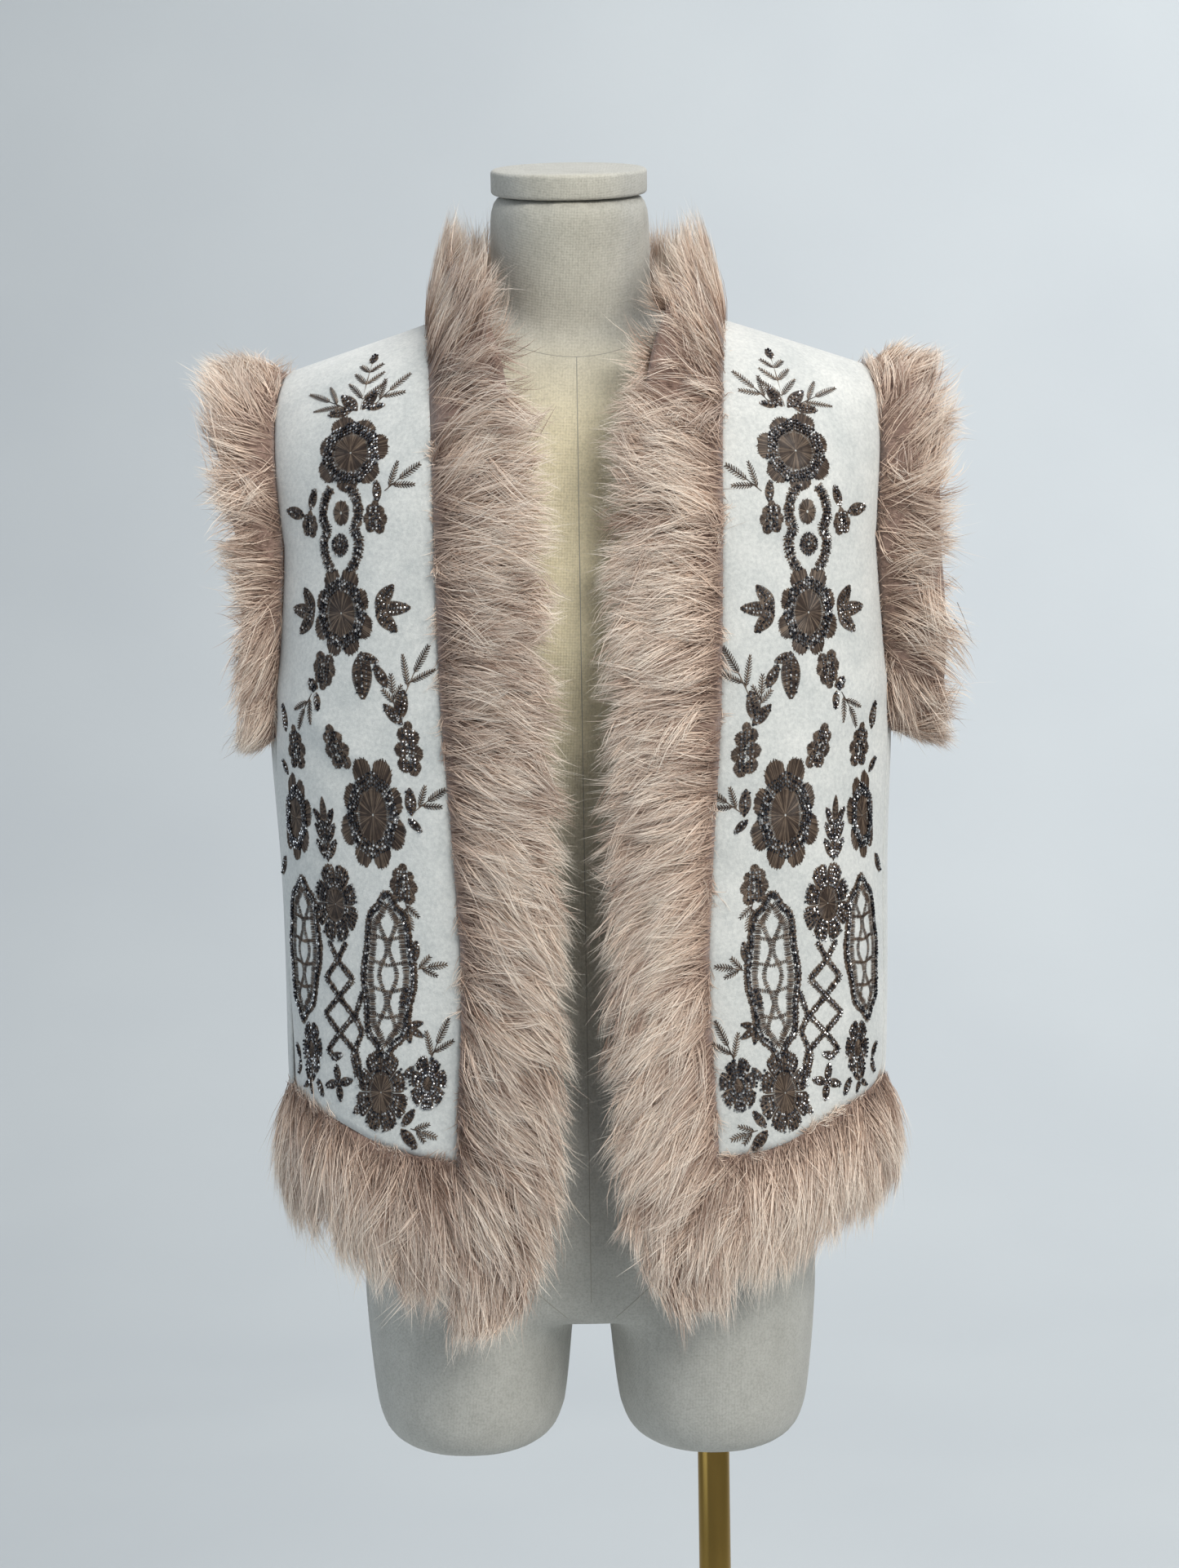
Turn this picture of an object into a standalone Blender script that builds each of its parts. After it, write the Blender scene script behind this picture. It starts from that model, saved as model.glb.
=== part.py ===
"""An open suede vest with embroidered fronts and long fur trims, hanging on a limbless dress form.

Metres, +Z up. The front faces -Y and +X is the right-hand side of the picture. Each piece that a maker
would cut and sew is one solid, and the form, its neck cap, its pole and its base are four more.
"""

import math

import bpy
import numpy as np

# Cloth and clearances
SUEDE_WALL = 0.0022
SEAM_GAP = 0.0004

# The vest's inner face in rings up to the chest line
CHEST_Z = 1.27
UNDERARM_Z = 1.143
SQUARENESS = 2.4
VEST_Z = (0.72, 0.85, 0.95, 1.05, 1.143, 1.27)
VEST_HALF_WIDTH = (0.2035, 0.2010, 0.2030, 0.2060, 0.2100, 0.2062)
VEST_FRONT_DEPTH = (0.1370, 0.1350, 0.1335, 0.1325, 0.1325, 0.1260)
VEST_BACK_DEPTH = (0.1220, 0.1200, 0.1180, 0.1160, 0.1150, 0.1130)

# Seams, as distances from the centre or angles round the body from centre front
BAND_SEAM_Z = (0.74, 0.80, 0.885, 0.994, 1.063, 1.154, 1.27)
BAND_SEAM_X = (0.0880, 0.0860, 0.0830, 0.0790, 0.0825, 0.0888, 0.0920)
SIDE_ANGLE = math.radians(76)
SIDE_GAP_ANGLE = 0.0014
ARMHOLE_FRONT_ANGLE = math.radians(70)
ARMHOLE_BACK_ANGLE = math.radians(112)
ARMHOLE_SCOOP = 0.105

# Shoulder seam and neckline, on the inner face
NECK_X, NECK_Z = 0.1010, 1.4197
TIP_X, TIP_Z = 0.1950, 1.3887
NECK_BACK_Y, NECK_BACK_Z = 0.0720, 1.4180
SHOULDER_ARC = math.radians(84)
NAPE_ARC = math.radians(58)
ARMHOLE_BULGE = 0.006

# Hem line, by the share of the way from the band seam round to the side, and from the side to centre back
HEM_SHARE = (0.0, 0.27, 0.476, 0.75, 1.0)
HEM_FRONT_Z = (0.8675, 0.8747, 0.8870, 0.8990, 0.9080)
HEM_BACK_Z = (0.9080, 0.9010, 0.8950, 0.8885, 0.8850)

# Fur of the front bands and the collar. The left-hand band and hem hang longer, as in the picture
BAND_DROP = {"left": 0.010, "right": -0.004}
BAND_END_Z = (0.765, 0.775, 0.790, 0.812, 0.840)
BAND_END_WIDTH = (0.34, 0.58, 0.74, 0.89, 1.0)
BAND_END_DEPTH = (0.30, 0.62, 0.86, 0.97, 1.0)
BAND_INNER_Z = (0.74, 0.90, 1.15, 1.27)
BAND_INNER_X = (0.0140, 0.0110, 0.0115, 0.0150)
BAND_PROUD = 0.026
BAND_UNDER = 0.006
BAND_LEAN = math.radians(8)
COLLAR_JOINT = 0.30
COLLAR_LEAN = math.radians(76)
COLLAR_HEIGHT = 0.066
COLLAR_PROUD = 0.005
COLLAR_UNDER = 0.020
COLLAR_SEAT = 1.2
COLLAR_JOINT_GAP = 0.0008
NAPE_UNDER = 0.014

# Sections of the fur, as shares of width and of depth, from the seam over the pile and back underneath
BAND_OVER = (
    (0.0, 0.10),
    (0.02, 0.32),
    (0.12, 0.74),
    (0.32, 0.98),
    (0.56, 1.0),
    (0.78, 0.84),
    (0.93, 0.50),
    (1.0, 0.06),
)
BAND_BELOW = ((0.93, 0.55), (0.72, 0.95), (0.45, 1.0), (0.22, 0.8), (0.06, 0.32), (0.0, 0.05))

# Hem fur: distances below the seam and out from the vest's inner face
HEM_STRETCH = {"left": 1.16, "right": 1.02, "back": 1.06}
HEM_SECTION = (
    (0.000, 0.0000),
    (0.000, 0.0030),
    (0.010, 0.0105),
    (0.030, 0.0160),
    (0.052, 0.0175),
    (0.070, 0.0135),
    (0.080, 0.0070),
    (0.066, 0.0008),
    (0.040, -0.0030),
    (0.015, -0.0015),
)

# Armhole fur: shares of its reach sideways and of its depth outside and inside the opening
ARMHOLE_Z = (1.12, 1.16, 1.20, 1.28, 1.36, 1.395)
ARMHOLE_TIP_X = {
    "left": (0.223, 0.230, 0.234, 0.240, 0.262, 0.251),
    "right": (0.236, 0.256, 0.262, 0.257, 0.257, 0.243),
}
ARMHOLE_OUTSIDE = 0.019
ARMHOLE_OUTSIDE_UNDERARM = 0.007
ARMHOLE_OUTSIDE_TOP = 0.0135
ARMHOLE_INSIDE = 0.011
ARMHOLE_OVER = ((0.0, 0.03), (0.10, 0.55), (0.32, 0.95), (0.58, 1.0), (0.82, 0.72), (1.0, 0.10))
ARMHOLE_BELOW = ((0.84, 0.7), (0.52, 1.0), (0.22, 0.75), (0.0, 0.12))
ARMHOLE_STATIONS = 38

# Dress form, with the neck as rings of height, centre in depth, half width, half depth and forward tilt
FORM_SQUARENESS = 2.2
FORM_Z = (0.745, 0.765, 0.80, 0.86, 0.93, 0.98, 1.03, 1.08, 1.14, 1.20, 1.27)
FORM_HALF_WIDTH = (0.140, 0.150, 0.1565, 0.1570, 0.1430, 0.1270, 0.1180, 0.1220, 0.1340, 0.1460, 0.1580)
FORM_FRONT_DEPTH = (0.070, 0.080, 0.0900, 0.0940, 0.0900, 0.0850, 0.0820, 0.0890, 0.1020, 0.1130, 0.1060)
FORM_BACK_DEPTH = (0.085, 0.098, 0.1090, 0.1120, 0.1020, 0.0900, 0.0840, 0.0850, 0.0900, 0.0960, 0.0970)
SHOULDER_STEPS = (0.18, 0.36, 0.54, 0.70, 0.84, 0.94)
RIDGE_X = (0.0, 0.050, 0.075, 0.101, 0.182)
RIDGE_Z = (1.4245, 1.4285, 1.4250, 1.4176, 1.3890)
THIGH_X = 0.0835
THIGH_Z = (0.650, 0.6525, 0.660, 0.672, 0.690, 0.720, 0.760, 0.800, 0.840)
THIGH_HALF_WIDTH = (0.030, 0.0460, 0.0570, 0.0635, 0.0668, 0.0700, 0.0730, 0.0725, 0.0660)
THIGH_HALF_DEPTH = (0.036, 0.0560, 0.0700, 0.0780, 0.0825, 0.0865, 0.0900, 0.0900, 0.0840)
NECK_RINGS = (
    (1.365, 0.0140, 0.0600, 0.0600, 0.0),
    (1.400, 0.0060, 0.0575, 0.0575, 0.0),
    (1.430, -0.0020, 0.0552, 0.0560, 3.0),
    (1.460, -0.0100, 0.0545, 0.0550, 8.0),
    (1.485, -0.0165, 0.0543, 0.0548, 12.0),
    (1.5015, -0.0205, 0.0540, 0.0545, 14.0),
    (1.5045, -0.0213, 0.0515, 0.0520, 14.0),
)
NECK_SHIFT = -0.003
CAP_TILT = math.radians(14)
CAP_RADIUS = 0.0526
CAP_HEIGHT = 0.0165
CAP_ROUND = 0.0040

# Stand
POLE_X = 0.0835
POLE_RADIUS = 0.0110
SOCKET_GAP = 0.0004
SOCKET_RADIUS = POLE_RADIUS + SOCKET_GAP
SOCKET_DEPTH = 0.100
POLE_FOOT_Z = 0.0024
PLATE_RADIUS = 0.180
PLATE_HEIGHT = 0.009
BOSS_RADIUS = 0.024
BOSS_HEIGHT = 0.030

SIDEWAYS = np.array([1.0, 0.0, 0.0])
UPWARD = np.array([0.0, 0.0, 1.0])
MIRROR = np.array([-1.0, 1.0, 1.0])


def smooth(value, places, amounts):
    """The curve through a short table, with the slopes taken from its neighbours."""
    places = np.asarray(places, float)
    amounts = np.asarray(amounts, float)
    slopes = np.gradient(amounts, places)
    value = np.clip(value, places[0], places[-1])
    cell = np.clip(np.searchsorted(places, value, side="right") - 1, 0, len(places) - 2)
    span = places[cell + 1] - places[cell]
    t = (value - places[cell]) / span
    near = amounts[cell] * (1 + 2 * t) * (1 - t) ** 2 + amounts[cell + 1] * t * t * (3 - 2 * t)
    return near + span * (slopes[cell] * t * (1 - t) ** 2 - slopes[cell + 1] * t * t * (1 - t))


def unit(vector):
    return vector / np.linalg.norm(vector, axis=-1, keepdims=True)


def superellipse(angle, width, front, back, squareness):
    """x and y at an angle from centre front: 0 is the front, half a turn is the back."""
    sine, cosine = np.sin(angle), np.cos(angle)
    depth = np.where(cosine > 0, front, back)
    x = width * np.sign(sine) * np.abs(sine) ** (2 / squareness)
    y = -np.sign(cosine) * depth * np.abs(cosine) ** (2 / squareness)
    return x, y


def vest_ring(angle, z):
    """The vest's inner face at or below the chest line."""
    angle, z = np.broadcast_arrays(np.asarray(angle, float), np.asarray(z, float))
    width = smooth(z, VEST_Z, VEST_HALF_WIDTH)
    front = smooth(z, VEST_Z, VEST_FRONT_DEPTH)
    back = smooth(z, VEST_Z, VEST_BACK_DEPTH)
    x, y = superellipse(angle, width, front, back, SQUARENESS)
    return np.stack([x, y, z], axis=-1)


def vest_normal(angle, z):
    """The level direction straight out of the vest."""
    step = 1e-4
    around = vest_ring(np.asarray(angle) + step, z) - vest_ring(np.asarray(angle) - step, z)
    return unit(np.stack([around[..., 1], -around[..., 0], 0 * around[..., 0]], axis=-1))


def seam_angle(z):
    """The angle of the seam between a front panel and its fur band."""
    width = smooth(z, VEST_Z, VEST_HALF_WIDTH)
    return np.arcsin((smooth(z, BAND_SEAM_Z, BAND_SEAM_X) / width) ** (SQUARENESS / 2))


def front_angle(share, z):
    """The angle at a share of the way from the band seam to the side seam."""
    inner = seam_angle(z)
    return inner + (SIDE_ANGLE - SIDE_GAP_ANGLE - inner) * share


def back_angle(share, z):
    """The angle at a share of the way from the side seam to centre back, at any height."""
    side = SIDE_ANGLE + SIDE_GAP_ANGLE
    return side + (math.pi - side) * share


def over_shoulder(start, end, v, arc):
    """A point of the arc from the chest line up to the shoulder seam or the neckline."""
    phi = v * arc
    forward = (1 - math.cos(phi)) / (1 - math.cos(arc))
    up = math.sin(phi) / math.sin(arc)
    return np.array(
        [
            start[0] + (end[0] - start[0]) * forward,
            start[1] + (end[1] - start[1]) * forward,
            start[2] + (end[2] - start[2]) * up,
        ]
    )


def front_column(share, v):
    """Above the chest line, at a share of the way from the neck edge to the armhole."""
    inner = seam_angle(CHEST_Z)
    start = vest_ring(inner + share * (ARMHOLE_FRONT_ANGLE - inner), CHEST_Z)
    end = (NECK_X + share * (TIP_X - NECK_X), -SEAM_GAP / 2, NECK_Z + share * (TIP_Z - NECK_Z))
    point = over_shoulder(start, end, v, SHOULDER_ARC)
    point[0] += ARMHOLE_BULGE * share**2 * math.sin(math.pi * v)
    return point


def back_column(share, v):
    """Above the chest line, at a share of the way from centre back to the armhole."""
    angle = math.pi + share * (ARMHOLE_BACK_ANGLE - math.pi)
    start = vest_ring(angle, CHEST_Z)
    corner = NECK_X / TIP_X
    x = share * TIP_X
    if share < corner - 1e-9:
        lift = math.sqrt(1 - (share / corner) ** 2)
        end = (x, SEAM_GAP / 2 + NECK_BACK_Y * lift, NECK_Z + (NECK_BACK_Z - NECK_Z) * lift)
    else:
        along = (share - corner) / (1 - corner)
        end = (x, SEAM_GAP / 2, NECK_Z + along * (TIP_Z - NECK_Z))
    arc = NAPE_ARC + (SHOULDER_ARC - NAPE_ARC) * min(1.0, share / corner) ** 2
    point = over_shoulder(start, end, v, arc)
    point[0] += ARMHOLE_BULGE * share**2 * math.sin(math.pi * v)
    return point


def armhole_front_angle(z):
    """The front panel's outer edge beside the armhole."""
    rise = np.clip((z - UNDERARM_Z) / (CHEST_Z - UNDERARM_Z), 0, 1)
    return SIDE_ANGLE + (ARMHOLE_FRONT_ANGLE - SIDE_ANGLE) * np.sin(rise * math.pi / 2)


def armhole_back_angle(z):
    """The back panel's outer edge: it scoops back from the side seam, then rises."""
    drop = np.clip(1 - (z - UNDERARM_Z) / ARMHOLE_SCOOP, 0, 1)
    return SIDE_ANGLE + (ARMHOLE_BACK_ANGLE - SIDE_ANGLE) * np.sqrt(1 - drop**2)


# Making objects


def material(name, colour, roughness, metallic=0.0):
    made = bpy.data.materials.new(name)
    made.use_nodes = True
    shader = made.node_tree.nodes["Principled BSDF"]
    shader.inputs["Base Color"].default_value = (*colour, 1.0)
    shader.inputs["Roughness"].default_value = roughness
    shader.inputs["Metallic"].default_value = metallic
    made.diffuse_color = (*colour, 1.0)
    return made


def add_object(name, points, faces, collection, look=None):
    mesh = bpy.data.meshes.new(name)
    mesh.from_pydata([tuple(map(float, p)) for p in points], [], faces)
    mesh.update()
    made = bpy.data.objects.new(name, mesh)
    if look is not None:
        mesh.materials.append(look)
    collection.objects.link(made)
    return made


def mirrored(points, faces, side):
    """The right-hand piece as it is, or its mirror image for side = -1."""
    if side > 0:
        return points, faces
    return [p * MIRROR for p in points], [tuple(reversed(f)) for f in faces]


def whole_from_half(sections):
    """Sections from the right-hand end to the middle, and their mirror images on to the left-hand end."""
    return sections + [[p * MIRROR for p in section] for section in sections[-2::-1]]


def grid_faces(rows, columns, wrap=False):
    faces = []
    for r in range(rows - 1):
        for c in range(columns if wrap else columns - 1):
            d = (c + 1) % columns
            faces.append((r * columns + c, r * columns + d, (r + 1) * columns + d, (r + 1) * columns + c))
    return faces


def loft(sections, closed=False):
    """Points and faces of the solid through closed sections that all hold the same number of points."""
    count = len(sections[0])
    points = [p for section in sections for p in section]
    faces = grid_faces(len(sections), count, wrap=True)
    last = (len(sections) - 1) * count
    if closed:
        faces += [(last + c, last + (c + 1) % count, (c + 1) % count, c) for c in range(count)]
        return points, faces
    for first, section, turn in ((0, sections[0], -1), (last, sections[-1], 1)):
        centre = len(points)
        points.append(np.mean(section, axis=0))
        for c in range(count):
            ends = (first + c, first + (c + 1) % count)[::turn]
            faces.append((*ends, centre))
    return points, faces


def facing_out(made):
    """Turns a closed mesh's faces outward by the sign of its volume."""
    mesh = made.data
    mesh.calc_loop_triangles()
    volume = 0.0
    for triangle in mesh.loop_triangles:
        a, b, c = (mesh.vertices[i].co for i in triangle.vertices)
        volume += a.dot(b.cross(c))
    if volume < 0:
        mesh.flip_normals()
    return made


# Suede panels


def front_panel_grid(columns=15, low=11, scoop=5, shoulder=9):
    """Rows of the right-hand front from the hem up, each from the band seam out to the side."""
    rows = []
    shares = np.linspace(0, 1, columns)
    hem = smooth(shares, HEM_SHARE, HEM_FRONT_Z)
    for rise in np.linspace(0, 1, low):
        z = hem + (UNDERARM_Z - hem) * rise
        rows.append(vest_ring(front_angle(shares, z), z))
    for z in np.linspace(UNDERARM_Z, CHEST_Z, scoop + 1)[1:]:
        inner = seam_angle(z)
        rows.append(vest_ring(inner + (armhole_front_angle(z) - inner) * shares, z))
    for v in np.linspace(0, 1, shoulder + 1)[1:]:
        rows.append(np.array([front_column(share, v) for share in shares]))
    return rows


def back_half_rows():
    """Rows of the right half of the back, from centre back to the side."""
    corner = NECK_X / TIP_X
    shares = np.concatenate([np.linspace(0, corner, 7), np.linspace(corner, 1, 6)[1:]])
    hem = smooth(1 - shares, HEM_SHARE, HEM_BACK_Z)
    rows = []
    for rise in np.linspace(0, 1, 9):
        z = hem + (UNDERARM_Z - hem) * rise
        rows.append(vest_ring(math.pi + (SIDE_ANGLE + SIDE_GAP_ANGLE - math.pi) * shares, z))
    for lift in (0.006, 0.05, 0.16, 0.36, 0.66):
        z = UNDERARM_Z + ARMHOLE_SCOOP * lift
        rows.append(vest_ring(math.pi + (armhole_back_angle(z) - math.pi) * shares, z))
    rows.append(vest_ring(math.pi + (ARMHOLE_BACK_ANGLE - math.pi) * shares, CHEST_Z))
    for v in np.linspace(0, 1, 9)[1:]:
        rows.append(np.array([back_column(share, v) for share in shares]))
    return rows


def add_wall(made):
    """Gives a panel its thickness, outward from the inner face."""
    wall = made.modifiers.new("Suede wall", "SOLIDIFY")
    wall.thickness = SUEDE_WALL
    wall.offset = 1.0
    wall.use_rim = True


def front_panel(side, name, parts, look):
    rows = front_panel_grid()
    points = [p for row in rows for p in row]
    points, faces = mirrored(points, grid_faces(len(rows), len(rows[0])), side)
    add_wall(add_object(name, points, faces, parts, look))


def back_panel(parts, look):
    rows = []
    for half in back_half_rows():
        rows.append(np.concatenate([half[:0:-1] * MIRROR, half]))
    points = [p for row in rows for p in row]
    faces = [tuple(reversed(f)) for f in grid_faces(len(rows), len(rows[0]))]
    add_wall(add_object("back_panel", points, faces, parts, look))


# Fur


def lock(step, strength):
    """A repeatable ripple that stands for the locks of the pile."""
    return 1 + strength * (0.6 * math.cos(math.pi * step) + 0.4 * math.sin(2.3 * step))


def leaning(outward, up, lean):
    """Section axes: across from the seam to the free edge, and away from the body."""
    across = -math.cos(lean) * outward + math.sin(lean) * up
    away = math.cos(lean) * up + math.sin(lean) * outward
    return across, away


def band_axes(along, lean):
    along = unit(along)
    outward = unit(SIDEWAYS - along * SIDEWAYS.dot(along))
    return leaning(outward, np.cross(outward, along), lean)


def band_section(point, axes, width, proud, under, start):
    """start is how far the fur stands off the seam, more where a standing collar sits on the panel's edge."""
    across, away = axes
    section = []
    for share, depth in BAND_OVER:
        section.append(point + across * (start + share * width) + away * (depth * proud))
    for share, depth in BAND_BELOW:
        section.append(point + across * (start + share * width) - away * (depth * under))
    return section


def band_end_heights(drop):
    """Heights of the band's tapered lower end, stretched down by the drop."""
    top = BAND_END_Z[-1]
    stretch = 1 + drop / (top - BAND_END_Z[0])
    return [top - (top - z) * stretch for z in BAND_END_Z]


def front_band_sections(drop):
    sections = []
    ends = band_end_heights(drop)
    heights = ends[:-1] + list(np.linspace(ends[-1], CHEST_Z, 27))
    for step, z in enumerate(heights):
        here = vest_ring(seam_angle(z), z)
        along = vest_ring(seam_angle(z + 1e-3), z + 1e-3) - here
        width = (here[0] - smooth(z, BAND_INNER_Z, BAND_INNER_X)) / math.cos(BAND_LEAN)
        width *= np.interp(z, ends, BAND_END_WIDTH) * lock(step, 0.045)
        depth = np.interp(z, ends, BAND_END_DEPTH) * lock(step + 0.5, 0.06)
        axes = band_axes(along, BAND_LEAN)
        proud, under = BAND_PROUD * depth, BAND_UNDER * min(depth, 1)
        sections.append(band_section(here, axes, width, proud, under, SEAM_GAP))
    for step, v in enumerate((0.08, 0.16, 0.23, COLLAR_JOINT - COLLAR_JOINT_GAP)):
        sections.append(neck_section(v, step))
    return sections


def neck_section(v, step):
    """A section on the front neckline, which turns from a flat band into a standing collar."""
    here = front_column(0, v)
    along = front_column(0, v + 1e-3) - here
    turn = np.interp(v, (0.0, 0.25, 0.6, 1.0), (0.0, 0.10, 0.55, 1.0))
    axes = band_axes(along, BAND_LEAN + (COLLAR_LEAN - BAND_LEAN) * turn)
    width = np.interp(v, (0.0, 0.5, 1.0), (0.0775, 0.080, COLLAR_HEIGHT)) * lock(step, 0.03)
    proud = (BAND_PROUD + (COLLAR_PROUD - BAND_PROUD) * turn) * lock(step + 0.5, 0.05)
    under = BAND_UNDER + (COLLAR_UNDER - BAND_UNDER) * turn
    start = SEAM_GAP + SUEDE_WALL * COLLAR_SEAT * turn**0.5
    return band_section(here, axes, width, proud, under, start)


def nape_section(turn, step):
    """A section on the back neckline, from the shoulder seam (0) to centre back (1)."""
    angle = turn * math.pi / 2
    lift = math.sin(angle)
    here = np.array([NECK_X * math.cos(angle), NECK_BACK_Y * lift, NECK_Z + (NECK_BACK_Z - NECK_Z) * lift])
    outward = unit(np.array([math.cos(angle) / NECK_X, math.sin(angle) / NECK_BACK_Y, 0.0]))
    axes = leaning(outward, UPWARD, COLLAR_LEAN)
    width = COLLAR_HEIGHT * lock(step, 0.03)
    proud = COLLAR_PROUD * lock(step + 0.5, 0.05)
    under = COLLAR_UNDER + (NAPE_UNDER - COLLAR_UNDER) * lift
    return band_section(here, axes, width, proud, under, SEAM_GAP + SUEDE_WALL * COLLAR_SEAT)


def fur_band(side, name, drop, parts, look):
    points, faces = loft(front_band_sections(drop))
    facing_out(add_object(name, *mirrored(points, faces, side), parts, look))


def fur_collar(parts, look):
    """One piece round the neck, from the joint on one front to the joint on the other."""
    first = COLLAR_JOINT + COLLAR_JOINT_GAP
    right = [neck_section(v, step) for step, v in enumerate(np.linspace(first, 0.96, 9))]
    right += [nape_section(turn, step) for step, turn in enumerate(np.linspace(0.04, 1.0, 9))]
    points, faces = loft(whole_from_half(right))
    facing_out(add_object("fur_collar", points, faces, parts, look))


def hem_section(angle_at, share, hem, stretch, step):
    """Locks ripple the section's free edge and its outer face, but not its seam."""
    section = []
    for below, out in HEM_SECTION:
        z = hem - SEAM_GAP - below * stretch * (lock(step, 0.05) if below > 0.06 else 1)
        angle = angle_at(share, z)
        ripple = lock(step + 0.5, 0.06) if out > 0.004 else 1
        section.append(vest_ring(angle, z) + vest_normal(angle, z) * out * ripple)
    return section


def fur_hem_front(side, name, stretch, parts, look):
    sections = []
    for step, share in enumerate(np.linspace(0, 1, 15)):
        hem = float(smooth(share, HEM_SHARE, HEM_FRONT_Z))
        sections.append(hem_section(front_angle, share, hem, stretch, step))
    points, faces = loft(sections)
    facing_out(add_object(name, *mirrored(points, faces, side), parts, look))


def fur_hem_back(parts, look):
    right = []
    for step, share in enumerate(np.linspace(0, 1, 16)):
        hem = float(smooth(share, HEM_SHARE, HEM_BACK_Z))
        right.append(hem_section(back_angle, share, hem, HEM_STRETCH["back"], step))
    points, faces = loft(whole_from_half(right))
    facing_out(add_object("fur_hem_back", points, faces, parts, look))


def armhole_edge():
    """The armhole's edge as even stations, from the side seam up the front, over and down the back."""
    line = [vest_ring(armhole_front_angle(z), z) for z in np.linspace(UNDERARM_Z, CHEST_Z, 20)]
    line += [front_column(1, v) for v in np.linspace(0, 1, 30)[1:]]
    line += [back_column(1, v) for v in np.linspace(1, 0, 30)]
    for drop in np.linspace(0, 1, 30)[1:]:
        z = UNDERARM_Z + ARMHOLE_SCOOP * (1 - math.sin(drop * math.pi / 2))
        line.append(vest_ring(armhole_back_angle(z), z))
    line = np.array(line)
    line[:, 0] += SUEDE_WALL + SEAM_GAP
    lengths = np.concatenate([[0], np.cumsum(np.linalg.norm(np.diff(line, axis=0), axis=1))])
    places = np.linspace(0, lengths[-1], ARMHOLE_STATIONS, endpoint=False)
    return np.stack([np.interp(places, lengths, line[:, i]) for i in range(3)], axis=1)


def armhole_axes(edge, step, low):
    """Section axes: across, sideways off the edge and a little down, and away from the armhole's middle."""
    along = unit(edge[(step + 1) % len(edge)] - edge[step - 1])
    away = edge[step] - edge.mean(axis=0)
    away[0] = 0
    away = unit(away - along * away.dot(along))
    across = np.array([1.0, 0.2 * away[1], -0.08 - 0.14 * low])
    across = unit(across - along * across.dot(along))
    return across, unit(away - across * away.dot(across))


def fur_armhole(side, name, tip_x, parts, look):
    edge = armhole_edge()
    sections = []
    for step, here in enumerate(edge):
        low = np.interp(here[2], (UNDERARM_Z, UNDERARM_Z + 0.06), (0.0, 1.0))
        across, away = armhole_axes(edge, step, low)
        reach = (np.interp(here[2], ARMHOLE_Z, tip_x) - here[0]) / across[0]
        reach *= min(1.0, lock(step, 0.05))
        outside = ARMHOLE_OUTSIDE + (ARMHOLE_OUTSIDE_TOP - ARMHOLE_OUTSIDE) * max(0.0, away[2])
        outside = ARMHOLE_OUTSIDE_UNDERARM + (outside - ARMHOLE_OUTSIDE_UNDERARM) * low
        outside *= lock(step + 0.5, 0.06)
        start = here + across * SEAM_GAP
        section = [start + across * a * reach + away * n * outside for a, n in ARMHOLE_OVER]
        section += [start + across * a * reach - away * n * ARMHOLE_INSIDE for a, n in ARMHOLE_BELOW]
        sections.append(section)
    points, faces = loft(sections, closed=True)
    facing_out(add_object(name, *mirrored(points, faces, side), parts, look))


# Dress form and stand


def form_torso():
    """Rings up to the chest, then front and back arcs that meet along the ridge of the shoulders."""
    columns = 16
    angles = np.linspace(-math.pi / 2, math.pi / 2, columns + 1)
    ring_angles = np.concatenate([angles, math.pi + angles[1:-1]])
    ridge_x = np.sin(angles) * RIDGE_X[-1]
    ridge = np.stack([ridge_x, 0 * ridge_x, smooth(np.abs(ridge_x), RIDGE_X, RIDGE_Z)], axis=1)
    points = []
    count = 2 * columns
    for z, width, front, back in zip(FORM_Z, FORM_HALF_WIDTH, FORM_FRONT_DEPTH, FORM_BACK_DEPTH):
        x, y = superellipse(ring_angles, width, front, back, FORM_SQUARENESS)
        points += [np.array([x[i], y[i], z]) for i in range(count)]
    chest = points[-count:]
    partner = [i if i <= columns else count - i for i in range(count)]
    for v in SHOULDER_STEPS:
        for i in range(count):
            points.append(over_shoulder(chest[i], ridge[partner[i]], v, math.pi / 2))
    faces = grid_faces(len(FORM_Z) + len(SHOULDER_STEPS), count, wrap=True)
    first_ridge = len(points)
    last = first_ridge - count
    points += list(ridge)
    for i in range(count):
        j = (i + 1) % count
        a, b = first_ridge + partner[i], first_ridge + partner[j]
        faces.append((last + i, last + j, b, a) if a != b else (last + i, last + j, a))
    centre = len(points)
    points.append(np.array([0.0, 0.005, FORM_Z[0]]))
    faces += [(i, centre, (i + 1) % count) for i in range(count)]
    return points, faces


def tilted_ring(z, y, half_width, half_depth, tilt, count):
    """An oval ring of points, its back lifted by the tilt."""
    ring = []
    for i in range(count):
        angle = 2 * math.pi * i / count
        x, depth = half_width * math.cos(angle), half_depth * math.sin(angle)
        ring.append(np.array([x, y + depth * math.cos(tilt), z + depth * math.sin(tilt)]))
    return ring


def form_neck():
    rings = [tilted_ring(z, y, a, b, math.radians(t), 28) for z, y, a, b, t in NECK_RINGS]
    return loft([[p + SIDEWAYS * NECK_SHIFT for p in ring] for ring in rings])


def form_thigh(side):
    sections = []
    for z, half_width, half_depth in zip(THIGH_Z, THIGH_HALF_WIDTH, THIGH_HALF_DEPTH):
        ring = tilted_ring(z, 0.006, half_width, half_depth, 0.0, 24)
        sections.append([p + SIDEWAYS * side * THIGH_X for p in ring])
    return loft(sections)


def add_boolean(made, name, operation, tool):
    cut = made.modifiers.new(name, "BOOLEAN")
    cut.operation = operation
    cut.solver = "EXACT"
    cut.object = tool


def hide_tool(made):
    made.hide_render = True
    made.display_type = "WIRE"
    return made


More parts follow.
